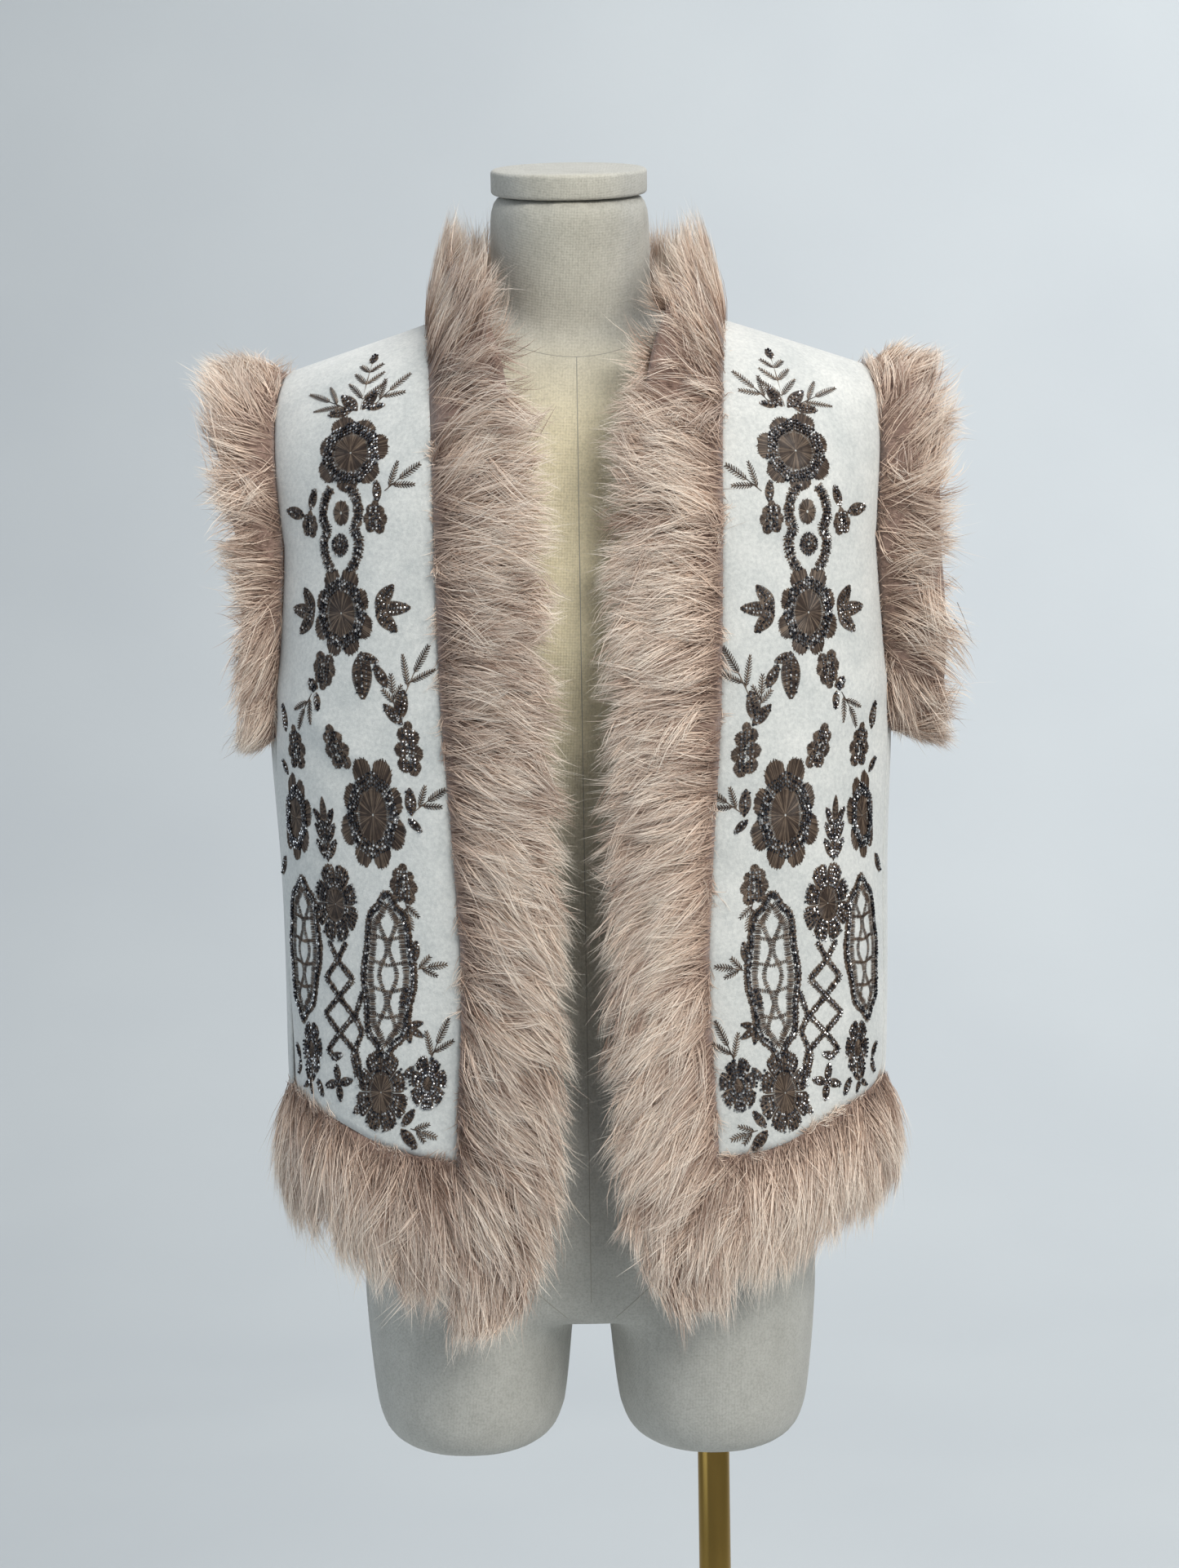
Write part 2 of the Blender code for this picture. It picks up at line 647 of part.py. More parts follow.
def cylinder(name, radius, low, high, count, collection, look=None):
    """An upright cylinder on the pole's axis."""
    rings = [tilted_ring(z, 0.0, radius, radius, 0.0, count) for z in (low, high)]
    points, faces = loft([[p + SIDEWAYS * POLE_X for p in ring] for ring in rings])
    return facing_out(add_object(name, points, faces, collection, look))


def form_body(parts, tools, look):
    body = facing_out(add_object("form_body", *form_torso(), parts, look))
    neck = hide_tool(facing_out(add_object("neck_loft", *form_neck(), tools)))
    add_boolean(body, "Neck", "UNION", neck)
    for side, name in ((-1, "thigh_loft_left"), (1, "thigh_loft_right")):
        thigh = hide_tool(facing_out(add_object(name, *form_thigh(side), tools)))
        add_boolean(body, name, "UNION", thigh)
    low, high = THIGH_Z[0] - 0.02, THIGH_Z[0] + SOCKET_DEPTH
    bore = cylinder("socket_bore", SOCKET_RADIUS, low, high, 32, tools)
    add_boolean(body, "Socket", "DIFFERENCE", hide_tool(bore))


def turned(name, profile, collection, look, steps=36):
    """A profile of (radius, height) turned round its own axis."""
    mesh = bpy.data.meshes.new(name)
    points = [(radius, 0.0, height) for radius, height in profile]
    mesh.from_pydata(points, [(i, i + 1) for i in range(len(points) - 1)], [])
    made = bpy.data.objects.new(name, mesh)
    mesh.materials.append(look)
    collection.objects.link(made)
    screw = made.modifiers.new("Turned", "SCREW")
    screw.steps = steps
    screw.render_steps = steps
    screw.use_merge_vertices = True
    screw.merge_threshold = 0.0001
    screw.use_normal_calculate = True
    return made


def neck_cap(parts, look):
    r, h, e = CAP_RADIUS, CAP_HEIGHT, CAP_ROUND
    profile = [(0.0, 0.0), (r - 0.0012, 0.0), (r, 0.0012), (r, h - e)]
    profile += [(r - e * (1 - math.cos(a)), h - e + e * math.sin(a)) for a in np.radians((30, 60, 90))]
    profile.append((0.0, h))
    cap = turned("neck_cap", profile, parts, look)
    z, y = NECK_RINGS[-1][:2]
    lift = 0.0005
    cap.location = (NECK_SHIFT, y - lift * math.sin(CAP_TILT), z + lift * math.cos(CAP_TILT))
    cap.rotation_euler = (CAP_TILT, 0.0, 0.0)


def pole(parts, look):
    high = THIGH_Z[0] + SOCKET_DEPTH - SOCKET_GAP
    cylinder("pole", POLE_RADIUS, POLE_FOOT_Z, high, 32, parts, look)


def base_plate(parts, tools, look):
    r, h, e = PLATE_RADIUS, PLATE_HEIGHT, 0.0025
    profile = [(0.0, 0.0), (r - 0.001, 0.0), (r, 0.001), (r, h - e)]
    profile += [(r - e * (1 - math.cos(a)), h - e + e * math.sin(a)) for a in np.radians((45, 90))]
    profile.append((0.0, h))
    plate = turned("base_plate", profile, parts, look, steps=56)
    boss = cylinder("boss", BOSS_RADIUS, h - 0.004, BOSS_HEIGHT, 32, tools)
    add_boolean(plate, "Boss", "UNION", hide_tool(boss))
    bore = cylinder("foot_bore", SOCKET_RADIUS, 0.002, BOSS_HEIGHT + 0.01, 32, tools)
    add_boolean(plate, "Foot bore", "DIFFERENCE", hide_tool(bore))


def main():
    for old in list(bpy.data.objects):
        bpy.data.objects.remove(old)
    parts = bpy.data.collections.new("embroidered_fur_vest")
    tools = bpy.data.collections.new("cutters")
    tools.hide_render = True
    for made in (parts, tools):
        bpy.context.scene.collection.children.link(made)
    suede = (0.76, 0.78, 0.75)
    fur = (0.60, 0.45, 0.39)
    linen = (0.69, 0.68, 0.64)
    for side, hand in ((-1, "left"), (1, "right")):
        front_panel(side, f"front_panel_{hand}", parts, material(f"suede front {hand}", suede, 0.85))
        fur_band(side, f"fur_band_{hand}", BAND_DROP[hand], parts, material(f"fur band {hand}", fur, 0.9))
        stretch = HEM_STRETCH[hand]
        fur_hem_front(side, f"fur_hem_{hand}", stretch, parts, material(f"fur hem {hand}", fur, 0.9))
        tips = ARMHOLE_TIP_X[hand]
        fur_armhole(side, f"fur_armhole_{hand}", tips, parts, material(f"fur armhole {hand}", fur, 0.9))
    back_panel(parts, material("suede back", suede, 0.85))
    fur_collar(parts, material("fur collar", fur, 0.9))
    fur_hem_back(parts, material("fur hem back", fur, 0.9))
    form_body(parts, tools, material("linen form", linen, 0.9))
    neck_cap(parts, material("linen cap", linen, 0.9))
    pole(parts, material("brass", (0.62, 0.45, 0.20), 0.3, 1.0))
    base_plate(parts, tools, material("painted steel", (0.75, 0.75, 0.73), 0.5))


main()
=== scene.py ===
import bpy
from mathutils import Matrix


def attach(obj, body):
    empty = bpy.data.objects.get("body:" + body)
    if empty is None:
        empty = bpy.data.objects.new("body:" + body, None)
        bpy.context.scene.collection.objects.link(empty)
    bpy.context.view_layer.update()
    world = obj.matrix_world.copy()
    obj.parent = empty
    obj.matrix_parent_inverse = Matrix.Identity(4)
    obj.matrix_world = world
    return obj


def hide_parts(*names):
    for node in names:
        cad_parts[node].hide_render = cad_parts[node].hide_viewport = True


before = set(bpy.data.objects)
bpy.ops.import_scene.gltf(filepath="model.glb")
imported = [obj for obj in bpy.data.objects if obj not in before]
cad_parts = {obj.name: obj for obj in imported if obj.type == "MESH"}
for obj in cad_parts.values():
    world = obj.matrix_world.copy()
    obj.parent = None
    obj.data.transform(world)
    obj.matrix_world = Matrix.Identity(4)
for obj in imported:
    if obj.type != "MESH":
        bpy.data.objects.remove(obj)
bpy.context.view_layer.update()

import copy
import math
from dataclasses import dataclass

import bpy
import numpy as np
from mathutils import Matrix, Vector
from mathutils.bvhtree import BVHTree

# The vest's form, the same named values as in the part's own source
SUEDE_WALL = 0.0022
SEAM_GAP = 0.0004
CHEST_Z = 1.27
UNDERARM_Z = 1.143
SQUARENESS = 2.4
VEST_Z = (0.72, 0.85, 0.95, 1.05, 1.143, 1.27)
VEST_HALF_WIDTH = (0.2035, 0.2010, 0.2030, 0.2060, 0.2100, 0.2062)
VEST_FRONT_DEPTH = (0.1370, 0.1350, 0.1335, 0.1325, 0.1325, 0.1260)
VEST_BACK_DEPTH = (0.1220, 0.1200, 0.1180, 0.1160, 0.1150, 0.1130)
BAND_SEAM_Z = (0.74, 0.80, 0.885, 0.994, 1.063, 1.154, 1.27)
BAND_SEAM_X = (0.0880, 0.0860, 0.0830, 0.0790, 0.0825, 0.0888, 0.0920)
SIDE_ANGLE = math.radians(76)
SIDE_GAP_ANGLE = 0.0014
ARMHOLE_FRONT_ANGLE = math.radians(70)
ARMHOLE_BACK_ANGLE = math.radians(112)
ARMHOLE_SCOOP = 0.105
NECK_X, NECK_Z = 0.1010, 1.4197
TIP_X, TIP_Z = 0.1950, 1.3887
NECK_BACK_Y, NECK_BACK_Z = 0.0720, 1.4180
SHOULDER_ARC = math.radians(84)
NAPE_ARC = math.radians(58)
ARMHOLE_BULGE = 0.006
HEM_SHARE = (0.0, 0.27, 0.476, 0.75, 1.0)
HEM_FRONT_Z = (0.8675, 0.8747, 0.8870, 0.8990, 0.9080)
HEM_BACK_Z = (0.9080, 0.9010, 0.8950, 0.8885, 0.8850)
BAND_DROP = {"left": 0.010, "right": -0.004}
BAND_END_Z = (0.765, 0.775, 0.790, 0.812, 0.840)
BAND_END_WIDTH = (0.34, 0.58, 0.74, 0.89, 1.0)
BAND_END_DEPTH = (0.30, 0.62, 0.86, 0.97, 1.0)
BAND_INNER_Z = (0.74, 0.90, 1.15, 1.27)
BAND_INNER_X = (0.0140, 0.0110, 0.0115, 0.0150)
BAND_PROUD = 0.026
BAND_UNDER = 0.006
BAND_LEAN = math.radians(8)
COLLAR_JOINT = 0.30
COLLAR_LEAN = math.radians(76)
COLLAR_HEIGHT = 0.066
COLLAR_PROUD = 0.005
COLLAR_UNDER = 0.020
NAPE_UNDER = 0.014
BAND_OVER = (
    (0.0, 0.10), (0.02, 0.32), (0.12, 0.74), (0.32, 0.98),
    (0.56, 1.0), (0.78, 0.84), (0.93, 0.50), (1.0, 0.06),
)
BAND_BELOW = ((0.0, 0.05), (0.06, 0.32), (0.22, 0.8), (0.45, 1.0), (0.72, 0.95), (0.93, 0.55), (1.0, 0.06))
HEM_LENGTH = 0.080
HEM_STRETCH = {"left": 1.16, "right": 1.02, "back": 1.06}
HEM_OVER = ((0.0, 0.17), (0.125, 0.60), (0.375, 0.91), (0.65, 1.0), (0.875, 0.77), (1.0, 0.40))
HEM_BELOW = ((0.0, 0.0), (0.19, 0.5), (0.5, 1.0), (0.825, -0.27), (1.0, -2.3))
HEM_PROUD = 0.0175
HEM_UNDER = 0.003
ARMHOLE_Z = (1.12, 1.16, 1.20, 1.28, 1.36, 1.395)
ARMHOLE_TIP_X = {
    "left": (0.223, 0.230, 0.234, 0.240, 0.262, 0.251),
    "right": (0.236, 0.256, 0.262, 0.257, 0.257, 0.243),
}
ARMHOLE_OUTSIDE = 0.019
ARMHOLE_OUTSIDE_UNDERARM = 0.007
ARMHOLE_OUTSIDE_TOP = 0.0135
ARMHOLE_INSIDE = 0.011
ARMHOLE_OVER = ((0.0, 0.03), (0.10, 0.55), (0.32, 0.95), (0.58, 1.0), (0.82, 0.72), (1.0, 0.10))
ARMHOLE_BELOW = ((0.0, 0.12), (0.22, 0.75), (0.52, 1.0), (0.84, 0.7), (1.0, 0.10))

NECK_TURN_V = (0.0, 0.25, 0.6, 1.0)
NECK_TURN = (0.0, 0.10, 0.55, 1.0)
NECK_WIDTH_V = (0.0, 0.5, 1.0)
NECK_WIDTH = (0.0775, 0.080, COLLAR_HEIGHT)

# Directions, and the two sides by the picture's hands
SIDEWAYS = np.array([1.0, 0.0, 0.0])
MIRROR = np.array([-1.0, 1.0, 1.0])
SIDES = ((-1, "left"), (1, "right"))

# The dress form and its stand
FORM_VOXEL, FORM_VOXEL_QUICK = 0.0064, 0.008
SEAM_X, SEAM_FOOT_Z = 0.0005, 0.764
NECKLINE_Z, NECKLINE_HALF, NECKLINE_CURVE = 1.3912, 0.060, 5.5
GROIN_X, GROIN_Z, GROIN_SLOPE = (0.016, 0.075), 0.752, 0.95
CAP_TILT = math.radians(14)
CAP_RADIUS, CAP_HEIGHT, CAP_EDGE = 0.0526, 0.0165, 0.0026
CAP_LIFT = 0.0005
NECK_TOP_Z, NECK_TOP_Y, NECK_SHIFT = 1.5045, -0.0213, -0.003
POLE_X, POLE_RADIUS, POLE_EDGE = 0.0835, 0.0110, 0.0004
POLE_FOOT_Z, POLE_TOP_Z = 0.0024, 0.7495

# The suede's folds: height, place and width across the slant, distance from the middle and half length
FOLDS = ((0.0022, 0.0, 0.010, 0.165, 0.040), (-0.0016, -0.016, 0.012, 0.160, 0.036))
FOLD_X, FOLD_Z, FOLD_RUN, FOLD_RISE = 0.175, 1.155, 0.6, 0.8
RIPPLE_HEIGHT, RIPPLE_PACE = 0.0009, 170
RIPPLE_X, RIPPLE_Z = (0.088, 0.010), (1.10, 0.12)
RIPPLE_SHARE = {-1: 0.5, 1: 1.3}
DRAPE_HEIGHT = 0.0012
FOLDS_END_Z, FOLDS_FADE = 1.33, 0.06
EDGE_DIP = 0.0009

# Threads and beads, in millimetres apart from the two heights named Z
DESIGN_SHIFT = {"left": (0.0, 0.0), "right": (-6.0, -4.0)}
DESIGN_WIDTH, DESIGN_STEP = 160, 2.0
DESIGN_FOOT_Z, DESIGN_STEP_Z = 0.855, 0.003
THREAD_PITCH = 0.85
THREAD_HEIGHT = 0.40
THREAD_REST = 0.26
BEAD_RADIUS = 1.0
BEAD_POINTS = 5

# Hair
HAIR_LEVELS = np.array([0.0, 0.36, 0.70, 1.0])
HAIR_WIDTHS = np.array([1.0, 0.92, 0.62])
HAIR_SHADES = 24
HAIR_THICKNESS = (0.00032, 0.00058)
LOCK_SPREAD = 0.0045
WISP_SHARE = 0.22
UNDERFUR_SHARE = 0.42
UNDERFUR_REACH = 0.72
UNDERFUR_TUCK = 0.002
UNDERFUR_LEAST = 0.0003
UNDERFUR_STATION = 0.006
PAST_END = 0.014
LOOSE_SPREAD = {"root": 0.0006, "knee": 0.0013, "loose knee": 0.0010, "tip": 0.0018}
BAND_FLOW_Z = (0.76, 0.82, 0.90, 1.02, 1.15, 1.27, 1.33)
BAND_FLOW_ANGLE = (1.50, 1.20, 0.72, 0.48, 0.20, 0.10, -0.40)
BAND_FAN_Z, BAND_FAN, BAND_FAN_MIDDLE = (0.78, 0.93), (-0.50, 0.25), 0.4
ARMHOLE_FLOW_Z = (1.05, 1.15, 1.24, 1.31, 1.39)
ARMHOLE_FLOW_RISE = (-0.8, -0.75, -0.25, 0.30, 0.75)

# The studio. Lights: name, place, target, size, power, colour
STUDIO_SIZE = 14.0
WALL_Y, WALL_BEND, WALL_HEIGHT = 5.6, 3.0, 8.0
LIGHTS = (
    ("key", (1.5, -2.4, 2.7), (0.0, 0.0, 1.1), (1.5, 1.3), 77, (1.0, 0.985, 0.95)),
    ("fill", (-2.7, -1.1, 1.6), (0.0, 0.0, 1.1), (2.0, 2.4), 16, (0.74, 0.87, 1.0)),
    ("top", (0.3, -0.1, 3.3), (0.0, 0.0, 1.1), (2.2, 1.6), 18, (1.0, 1.0, 1.0)),
    ("wall", (2.3, 2.0, 4.5), (1.0, 5.4, 2.1), (4.5, 1.0), 160, (0.98, 0.99, 1.0)),
)
SKY_COLOUR = (0.86, 0.91, 0.97, 1.0)
SKY_STRENGTH = 0.38

# The picture
IMAGE_SIZE = (1445, 1922)
METRES_PER_PIXEL = 0.00056
CAMERA_DISTANCE = 2.0
CAMERA_HEIGHT = 1.20
CENTRE_HEIGHT = 1.1057
CAMERA_X = 0.0046
CAMERA_ROLL = 0.0156
SENSOR_WIDTH = 36.0


# Shape functions


def smooth(value, places, amounts):
    """The curve through a short table, with the slopes taken from its neighbours."""
    places = np.asarray(places, float)
    amounts = np.asarray(amounts, float)
    slopes = np.gradient(amounts, places)
    value = np.clip(value, places[0], places[-1])
    cell = np.clip(np.searchsorted(places, value, side="right") - 1, 0, len(places) - 2)
    span = places[cell + 1] - places[cell]
    t = (value - places[cell]) / span
    near = amounts[cell] * (1 + 2 * t) * (1 - t) ** 2 + amounts[cell + 1] * t * t * (3 - 2 * t)
    return near + span * (slopes[cell] * t * (1 - t) ** 2 - slopes[cell + 1] * t * t * (1 - t))


def unit(vector):
    return vector / np.maximum(np.linalg.norm(vector, axis=-1, keepdims=True), 1e-12)


def bell(value, middle, spread):
    return np.exp(-(((value - middle) / spread) ** 2))


def lengths_along(line):
    """The distance from a line's start to each of its points."""
    return np.concatenate([[0], np.cumsum(np.linalg.norm(np.diff(line, axis=0), axis=1))])


def read_line(line, lengths, places):
    """A line's points at given places, between the lengths at which its own points stand."""
    return np.stack([np.interp(places, lengths, column) for column in line.T], axis=-1)


def vest_ring(angle, z):
    """The vest's inner face at or below the chest line."""
    angle, z = np.broadcast_arrays(np.asarray(angle, float), np.asarray(z, float))
    sine, cosine = np.sin(angle), np.cos(angle)
    front, back = smooth(z, VEST_Z, VEST_FRONT_DEPTH), smooth(z, VEST_Z, VEST_BACK_DEPTH)
    x = smooth(z, VEST_Z, VEST_HALF_WIDTH) * np.sign(sine) * np.abs(sine) ** (2 / SQUARENESS)
    y = -np.sign(cosine) * np.where(cosine > 0, front, back) * np.abs(cosine) ** (2 / SQUARENESS)
    return np.stack([x, y, z], axis=-1)


def vest_normal(angle, z):
    step = 1e-4
    around = vest_ring(np.asarray(angle) + step, z) - vest_ring(np.asarray(angle) - step, z)
    return unit(np.stack([around[..., 1], -around[..., 0], 0 * around[..., 0]], axis=-1))


def seam_angle(z):
    width = smooth(z, VEST_Z, VEST_HALF_WIDTH)
    return np.arcsin((smooth(z, BAND_SEAM_Z, BAND_SEAM_X) / width) ** (SQUARENESS / 2))


CHEST_SEAM_ANGLE = float(seam_angle(CHEST_Z))


def over_shoulder(start, end, v, arc):
    phi = v * arc
    forward = (1 - math.cos(phi)) / (1 - math.cos(arc))
    up = math.sin(phi) / math.sin(arc)
    return start + (np.array(end) - start) * np.array([forward, forward, up])


def front_column(share, v):
    angle = CHEST_SEAM_ANGLE + share * (ARMHOLE_FRONT_ANGLE - CHEST_SEAM_ANGLE)
    start = vest_ring(angle, CHEST_Z)
    end = (NECK_X + share * (TIP_X - NECK_X), -SEAM_GAP / 2, NECK_Z + share * (TIP_Z - NECK_Z))
    point = over_shoulder(start, end, v, SHOULDER_ARC)
    point[0] += ARMHOLE_BULGE * share**2 * math.sin(math.pi * v)
    return point


def back_column(share, v):
    angle = math.pi + share * (ARMHOLE_BACK_ANGLE - math.pi)
    start = vest_ring(angle, CHEST_Z)
    corner = NECK_X / TIP_X
    x = share * TIP_X
    if share < corner - 1e-9:
        lift = math.sqrt(1 - (share / corner) ** 2)
        end = (x, SEAM_GAP / 2 + NECK_BACK_Y * lift, NECK_Z + (NECK_BACK_Z - NECK_Z) * lift)
    else:
        along = (share - corner) / (1 - corner)
        end = (x, SEAM_GAP / 2, NECK_Z + along * (TIP_Z - NECK_Z))
    arc = NAPE_ARC + (SHOULDER_ARC - NAPE_ARC) * min(1.0, share / corner) ** 2
    point = over_shoulder(start, end, v, arc)
    point[0] += ARMHOLE_BULGE * share**2 * math.sin(math.pi * v)
    return point


def armhole_front_angle(z):
    rise = np.clip((z - UNDERARM_Z) / (CHEST_Z - UNDERARM_Z), 0, 1)
    return SIDE_ANGLE + (ARMHOLE_FRONT_ANGLE - SIDE_ANGLE) * np.sin(rise * math.pi / 2)


def armhole_back_angle(z):
    drop = np.clip(1 - (z - UNDERARM_Z) / ARMHOLE_SCOOP, 0, 1)
    return SIDE_ANGLE + (ARMHOLE_BACK_ANGLE - SIDE_ANGLE) * np.sqrt(1 - drop**2)


# Making meshes


def add_object(name, data):
    made = bpy.data.objects.new(name, data)
    bpy.context.scene.collection.objects.link(made)
    return made


def add_mesh(name, points, *groups):
    """A mesh from an array of points and arrays of faces, one array for each number of corners."""
    points = np.asarray(points, np.float32)
    corners = np.concatenate([np.ravel(faces) for faces in groups]).astype(np.int32)
    sizes = np.concatenate([np.full(len(faces), faces.shape[1]) for faces in groups])
    mesh = bpy.data.meshes.new(name)
    mesh.vertices.add(len(points))
    mesh.vertices.foreach_set("co", points.ravel())
    mesh.loops.add(len(corners))
    mesh.loops.foreach_set("vertex_index", corners)
    mesh.polygons.add(len(sizes))
    mesh.polygons.foreach_set("loop_start", (np.cumsum(sizes) - sizes).astype(np.int32))
    mesh.polygons.foreach_set("use_smooth", np.ones(len(sizes), bool))
    mesh.update(calc_edges=True)
    made = add_object(name, mesh)
    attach(made, "root")
    return made


def copies(pattern, count, size):
    """The faces of many equal small meshes, from one's own faces and its number of points."""
    pattern = np.array(pattern)
    return (np.arange(count)[:, None, None] * size + pattern).reshape(-1, pattern.shape[1])


def grid_faces(rows, columns, wrap=False):
    r = np.arange(rows - 1)[:, None]
    c = np.arange(columns if wrap else columns - 1)[None, :]
    d = (c + 1) % columns
    quads = [r * columns + c, r * columns + d, (r + 1) * columns + d, (r + 1) * columns + c]
    return np.stack([np.broadcast_to(q, (rows - 1, c.shape[1])) for q in quads], axis=-1).reshape(-1, 4)


# Materials


class Look:
    """A Principled material with a few short ways to add nodes."""

    def __init__(self, name, roughness=0.8, metallic=0.0, sheen=0.0, sheen_roughness=0.5):
        self.material = bpy.data.materials.new(name)
        self.material.use_nodes = True
        self.tree = self.material.node_tree
        self.shader = self.tree.nodes["Principled BSDF"]
        self.shader.inputs["Roughness"].default_value = roughness
        self.shader.inputs["Metallic"].default_value = metallic
        self.shader.inputs["Sheen Weight"].default_value = sheen
        self.shader.inputs["Sheen Roughness"].default_value = sheen_roughness

    def node(self, kind, **values):
        made = self.tree.nodes.new(kind)
        for key, value in values.items():
            if isinstance(value, bpy.types.NodeSocket):
                self.tree.links.new(value, made.inputs[key])
            elif key in made.inputs:
                made.inputs[key].default_value = value
            else:
                setattr(made, key, value)
        return made

    def place(self, stretch=(1.0, 1.0, 1.0)):
        where = self.node("ShaderNodeTexCoord").outputs["Object"]
        return self.node("ShaderNodeMapping", Vector=where, Scale=stretch).outputs["Vector"]

    def place_at(self, middle, size):
        """Object coordinates measured from a middle, in units of a size along each axis."""
        where = self.node("ShaderNodeTexCoord").outputs["Object"]
        made = self.node("ShaderNodeMapping", Vector=where)
        made.inputs["Scale"].default_value = [1 / s for s in size]
        made.inputs["Location"].default_value = [-m / s for m, s in zip(middle, size)]
        return made.outputs["Vector"]

    def noise(self, scale, detail=3.0, roughness=0.5, stretch=(1.0, 1.0, 1.0)):
        made = self.node("ShaderNodeTexNoise", Vector=self.place(stretch), Scale=scale, Detail=detail)
        made.inputs["Roughness"].default_value = roughness
        return made.outputs["Fac"]

    def ramp(self, factor, stops):
        made = self.node("ShaderNodeValToRGB", Fac=factor)
        elements = made.color_ramp.elements
        while len(elements) < len(stops):
            elements.new(0.5)
        for element, (place, colour) in zip(elements, stops):
            element.position = place
            element.color = (*colour, 1.0)
        return made.outputs["Color"]

    def feed(self, socket, value):
        """Another node's output, a colour or a number into a socket."""
        if isinstance(value, bpy.types.NodeSocket):
            self.tree.links.new(value, socket)
        else:
            socket.default_value = (*value, 1.0) if isinstance(value, tuple) else value

    def mix(self, factor, first, second, mode="MIX"):
        made = self.node("ShaderNodeMix", data_type="RGBA", blend_type=mode)
        for index, value in ((0, factor), (6, first), (7, second)):
            self.feed(made.inputs[index], value)
        return made.outputs[2]

    def maths(self, operation, first, second):
        made = self.node("ShaderNodeMath", operation=operation)
        for index, value in ((0, first), (1, second)):
            self.feed(made.inputs[index], value)
        return made.outputs[0]

    def colour(self, value):
        self.feed(self.shader.inputs["Base Color"], value)

    def bump(self, height, distance, strength=1.0):
        made = self.node("ShaderNodeBump", Height=height, Distance=distance, Strength=strength)
        self.tree.links.new(made.outputs["Normal"], self.shader.inputs["Normal"])


def suede_look(name):
    look = Look(name, roughness=0.92, sheen=0.35, sheen_roughness=0.6)
    patches = look.ramp(look.noise(26, 5, 0.6), [(0.32, (0.61, 0.625, 0.60)), (0.68, (0.755, 0.755, 0.715))])
    nap = look.ramp(look.noise(380, 5, 0.7), [(0.35, (0.78, 0.79, 0.80)), (0.65, (1.0, 1.0, 1.0))])
    look.colour(look.mix(1.0, patches, nap, "MULTIPLY"))
    fine = look.maths("MULTIPLY", look.noise(1100, 3, 0.7), 0.6)
    look.bump(look.maths("ADD", fine, look.noise(160, 4, 0.6)), 0.00035, 0.9)
    return look.material


def linen_look(name):
    look = Look(name, roughness=0.9, sheen=0.15)
    slubs = look.noise(45, 6, 0.7, (1.0, 1.0, 0.7))
    slubs = look.ramp(slubs, [(0.3, (0.47, 0.46, 0.415)), (0.7, (0.57, 0.56, 0.51))])
    flecks = look.ramp(look.noise(650, 4, 0.7), [(0.36, (0.80, 0.80, 0.79)), (0.56, (1.0, 1.0, 1.0))])
    cloth = look.mix(1.0, slubs, flecks, "MULTIPLY")
    # Painted warm light: a spherical gradient round the front of the chest brightens and warms the cloth
    # there, fading away from the middle of the chest.
    front = look.place_at((0.0, -0.13, 1.25), (0.24, 0.10, 0.38))
    painted_warm_light = look.node("ShaderNodeTexGradient", gradient_type="SPHERICAL", Vector=front)
    amount = look.maths("MULTIPLY", painted_warm_light.outputs["Fac"], 1.6)
    look.colour(look.mix(amount, cloth, look.mix(1.0, cloth, (1.52, 1.38, 1.05), "MULTIPLY")))
    weft = look.node("ShaderNodeTexWave", Vector=look.place(), Scale=420.0, Distortion=1.2)
    weft.bands_direction = "Z"
    warp = look.node("ShaderNodeTexWave", Vector=look.place(), Scale=420.0, Distortion=1.2)
    warp.bands_direction = "X"
    weave = look.maths("ADD", weft.outputs["Fac"], warp.outputs["Fac"])
    look.bump(look.maths("ADD", weave, look.noise(500, 3, 0.6)), 0.00022, 0.7)
    return look.material


def brass_look():
    look = Look("pole brass", roughness=0.22, metallic=1.0)
    look.colour(look.ramp(look.noise(7, 3), [(0.3, (0.34, 0.21, 0.055)), (0.7, (0.48, 0.32, 0.09))]))
    scratches = look.noise(90, 4, 0.6, (1.0, 1.0, 0.03))
    rough = look.node("ShaderNodeMapRange", Value=scratches)
    rough.inputs["To Min"].default_value = 0.14
    rough.inputs["To Max"].default_value = 0.30
    look.feed(look.shader.inputs["Roughness"], rough.outputs["Result"])
    look.bump(scratches, 0.00002, 0.4)
    return look.material


def paint_look():
    look = Look("base paint", roughness=0.5)
    look.colour(look.ramp(look.noise(30, 3), [(0.3, (0.62, 0.62, 0.60)), (0.7, (0.68, 0.68, 0.66))]))
    look.bump(look.noise(700, 2), 0.00004, 0.5)
    return look.material


def fur_look(name):
    """Hair colour by the map's own place: across the map is the hair's shade, up the map is root to tip."""
    look = Look(name, roughness=0.5, sheen=0.25, sheen_roughness=0.4)
    look.shader.inputs["Specular IOR Level"].default_value = 0.4
    where = look.node("ShaderNodeUVMap", uv_map="OFBake").outputs["UV"]
    parts = look.node("ShaderNodeSeparateXYZ", Vector=where)
    shade, along = parts.outputs["X"], parts.outputs["Y"]
    # Both ramps run from dark at the root to light at the tip: the dark roots are painted shade deep in the
    # pile, and the light tips are the hair's own tone.
    dark = [(0.0, (0.12, 0.065, 0.045)), (0.40, (0.27, 0.165, 0.118)), (1.0, (0.54, 0.385, 0.305))]
    light = [(0.0, (0.50, 0.345, 0.26)), (0.35, (0.88, 0.69, 0.55)), (1.0, (1.0, 0.93, 0.82))]
    look.colour(look.mix(shade, look.ramp(along, dark), look.ramp(along, light)))
    return look.material


def painted_shade_underfur_look(name):
    look = Look(name, roughness=0.95, sheen=0.3)
    tufts = look.noise(240, 4, 0.7)
    # The underfur is coloured dark brown, far darker than the hair: painted shade at the foot of the pile.
    look.colour(look.ramp(tufts, [(0.3, (0.13, 0.075, 0.055)), (0.7, (0.36, 0.24, 0.19))]))
    look.bump(tufts, 0.0012, 1.0)
    return look.material


def use(piece, material):
    piece.data.materials.clear()
    piece.data.materials.append(material)


# Suede


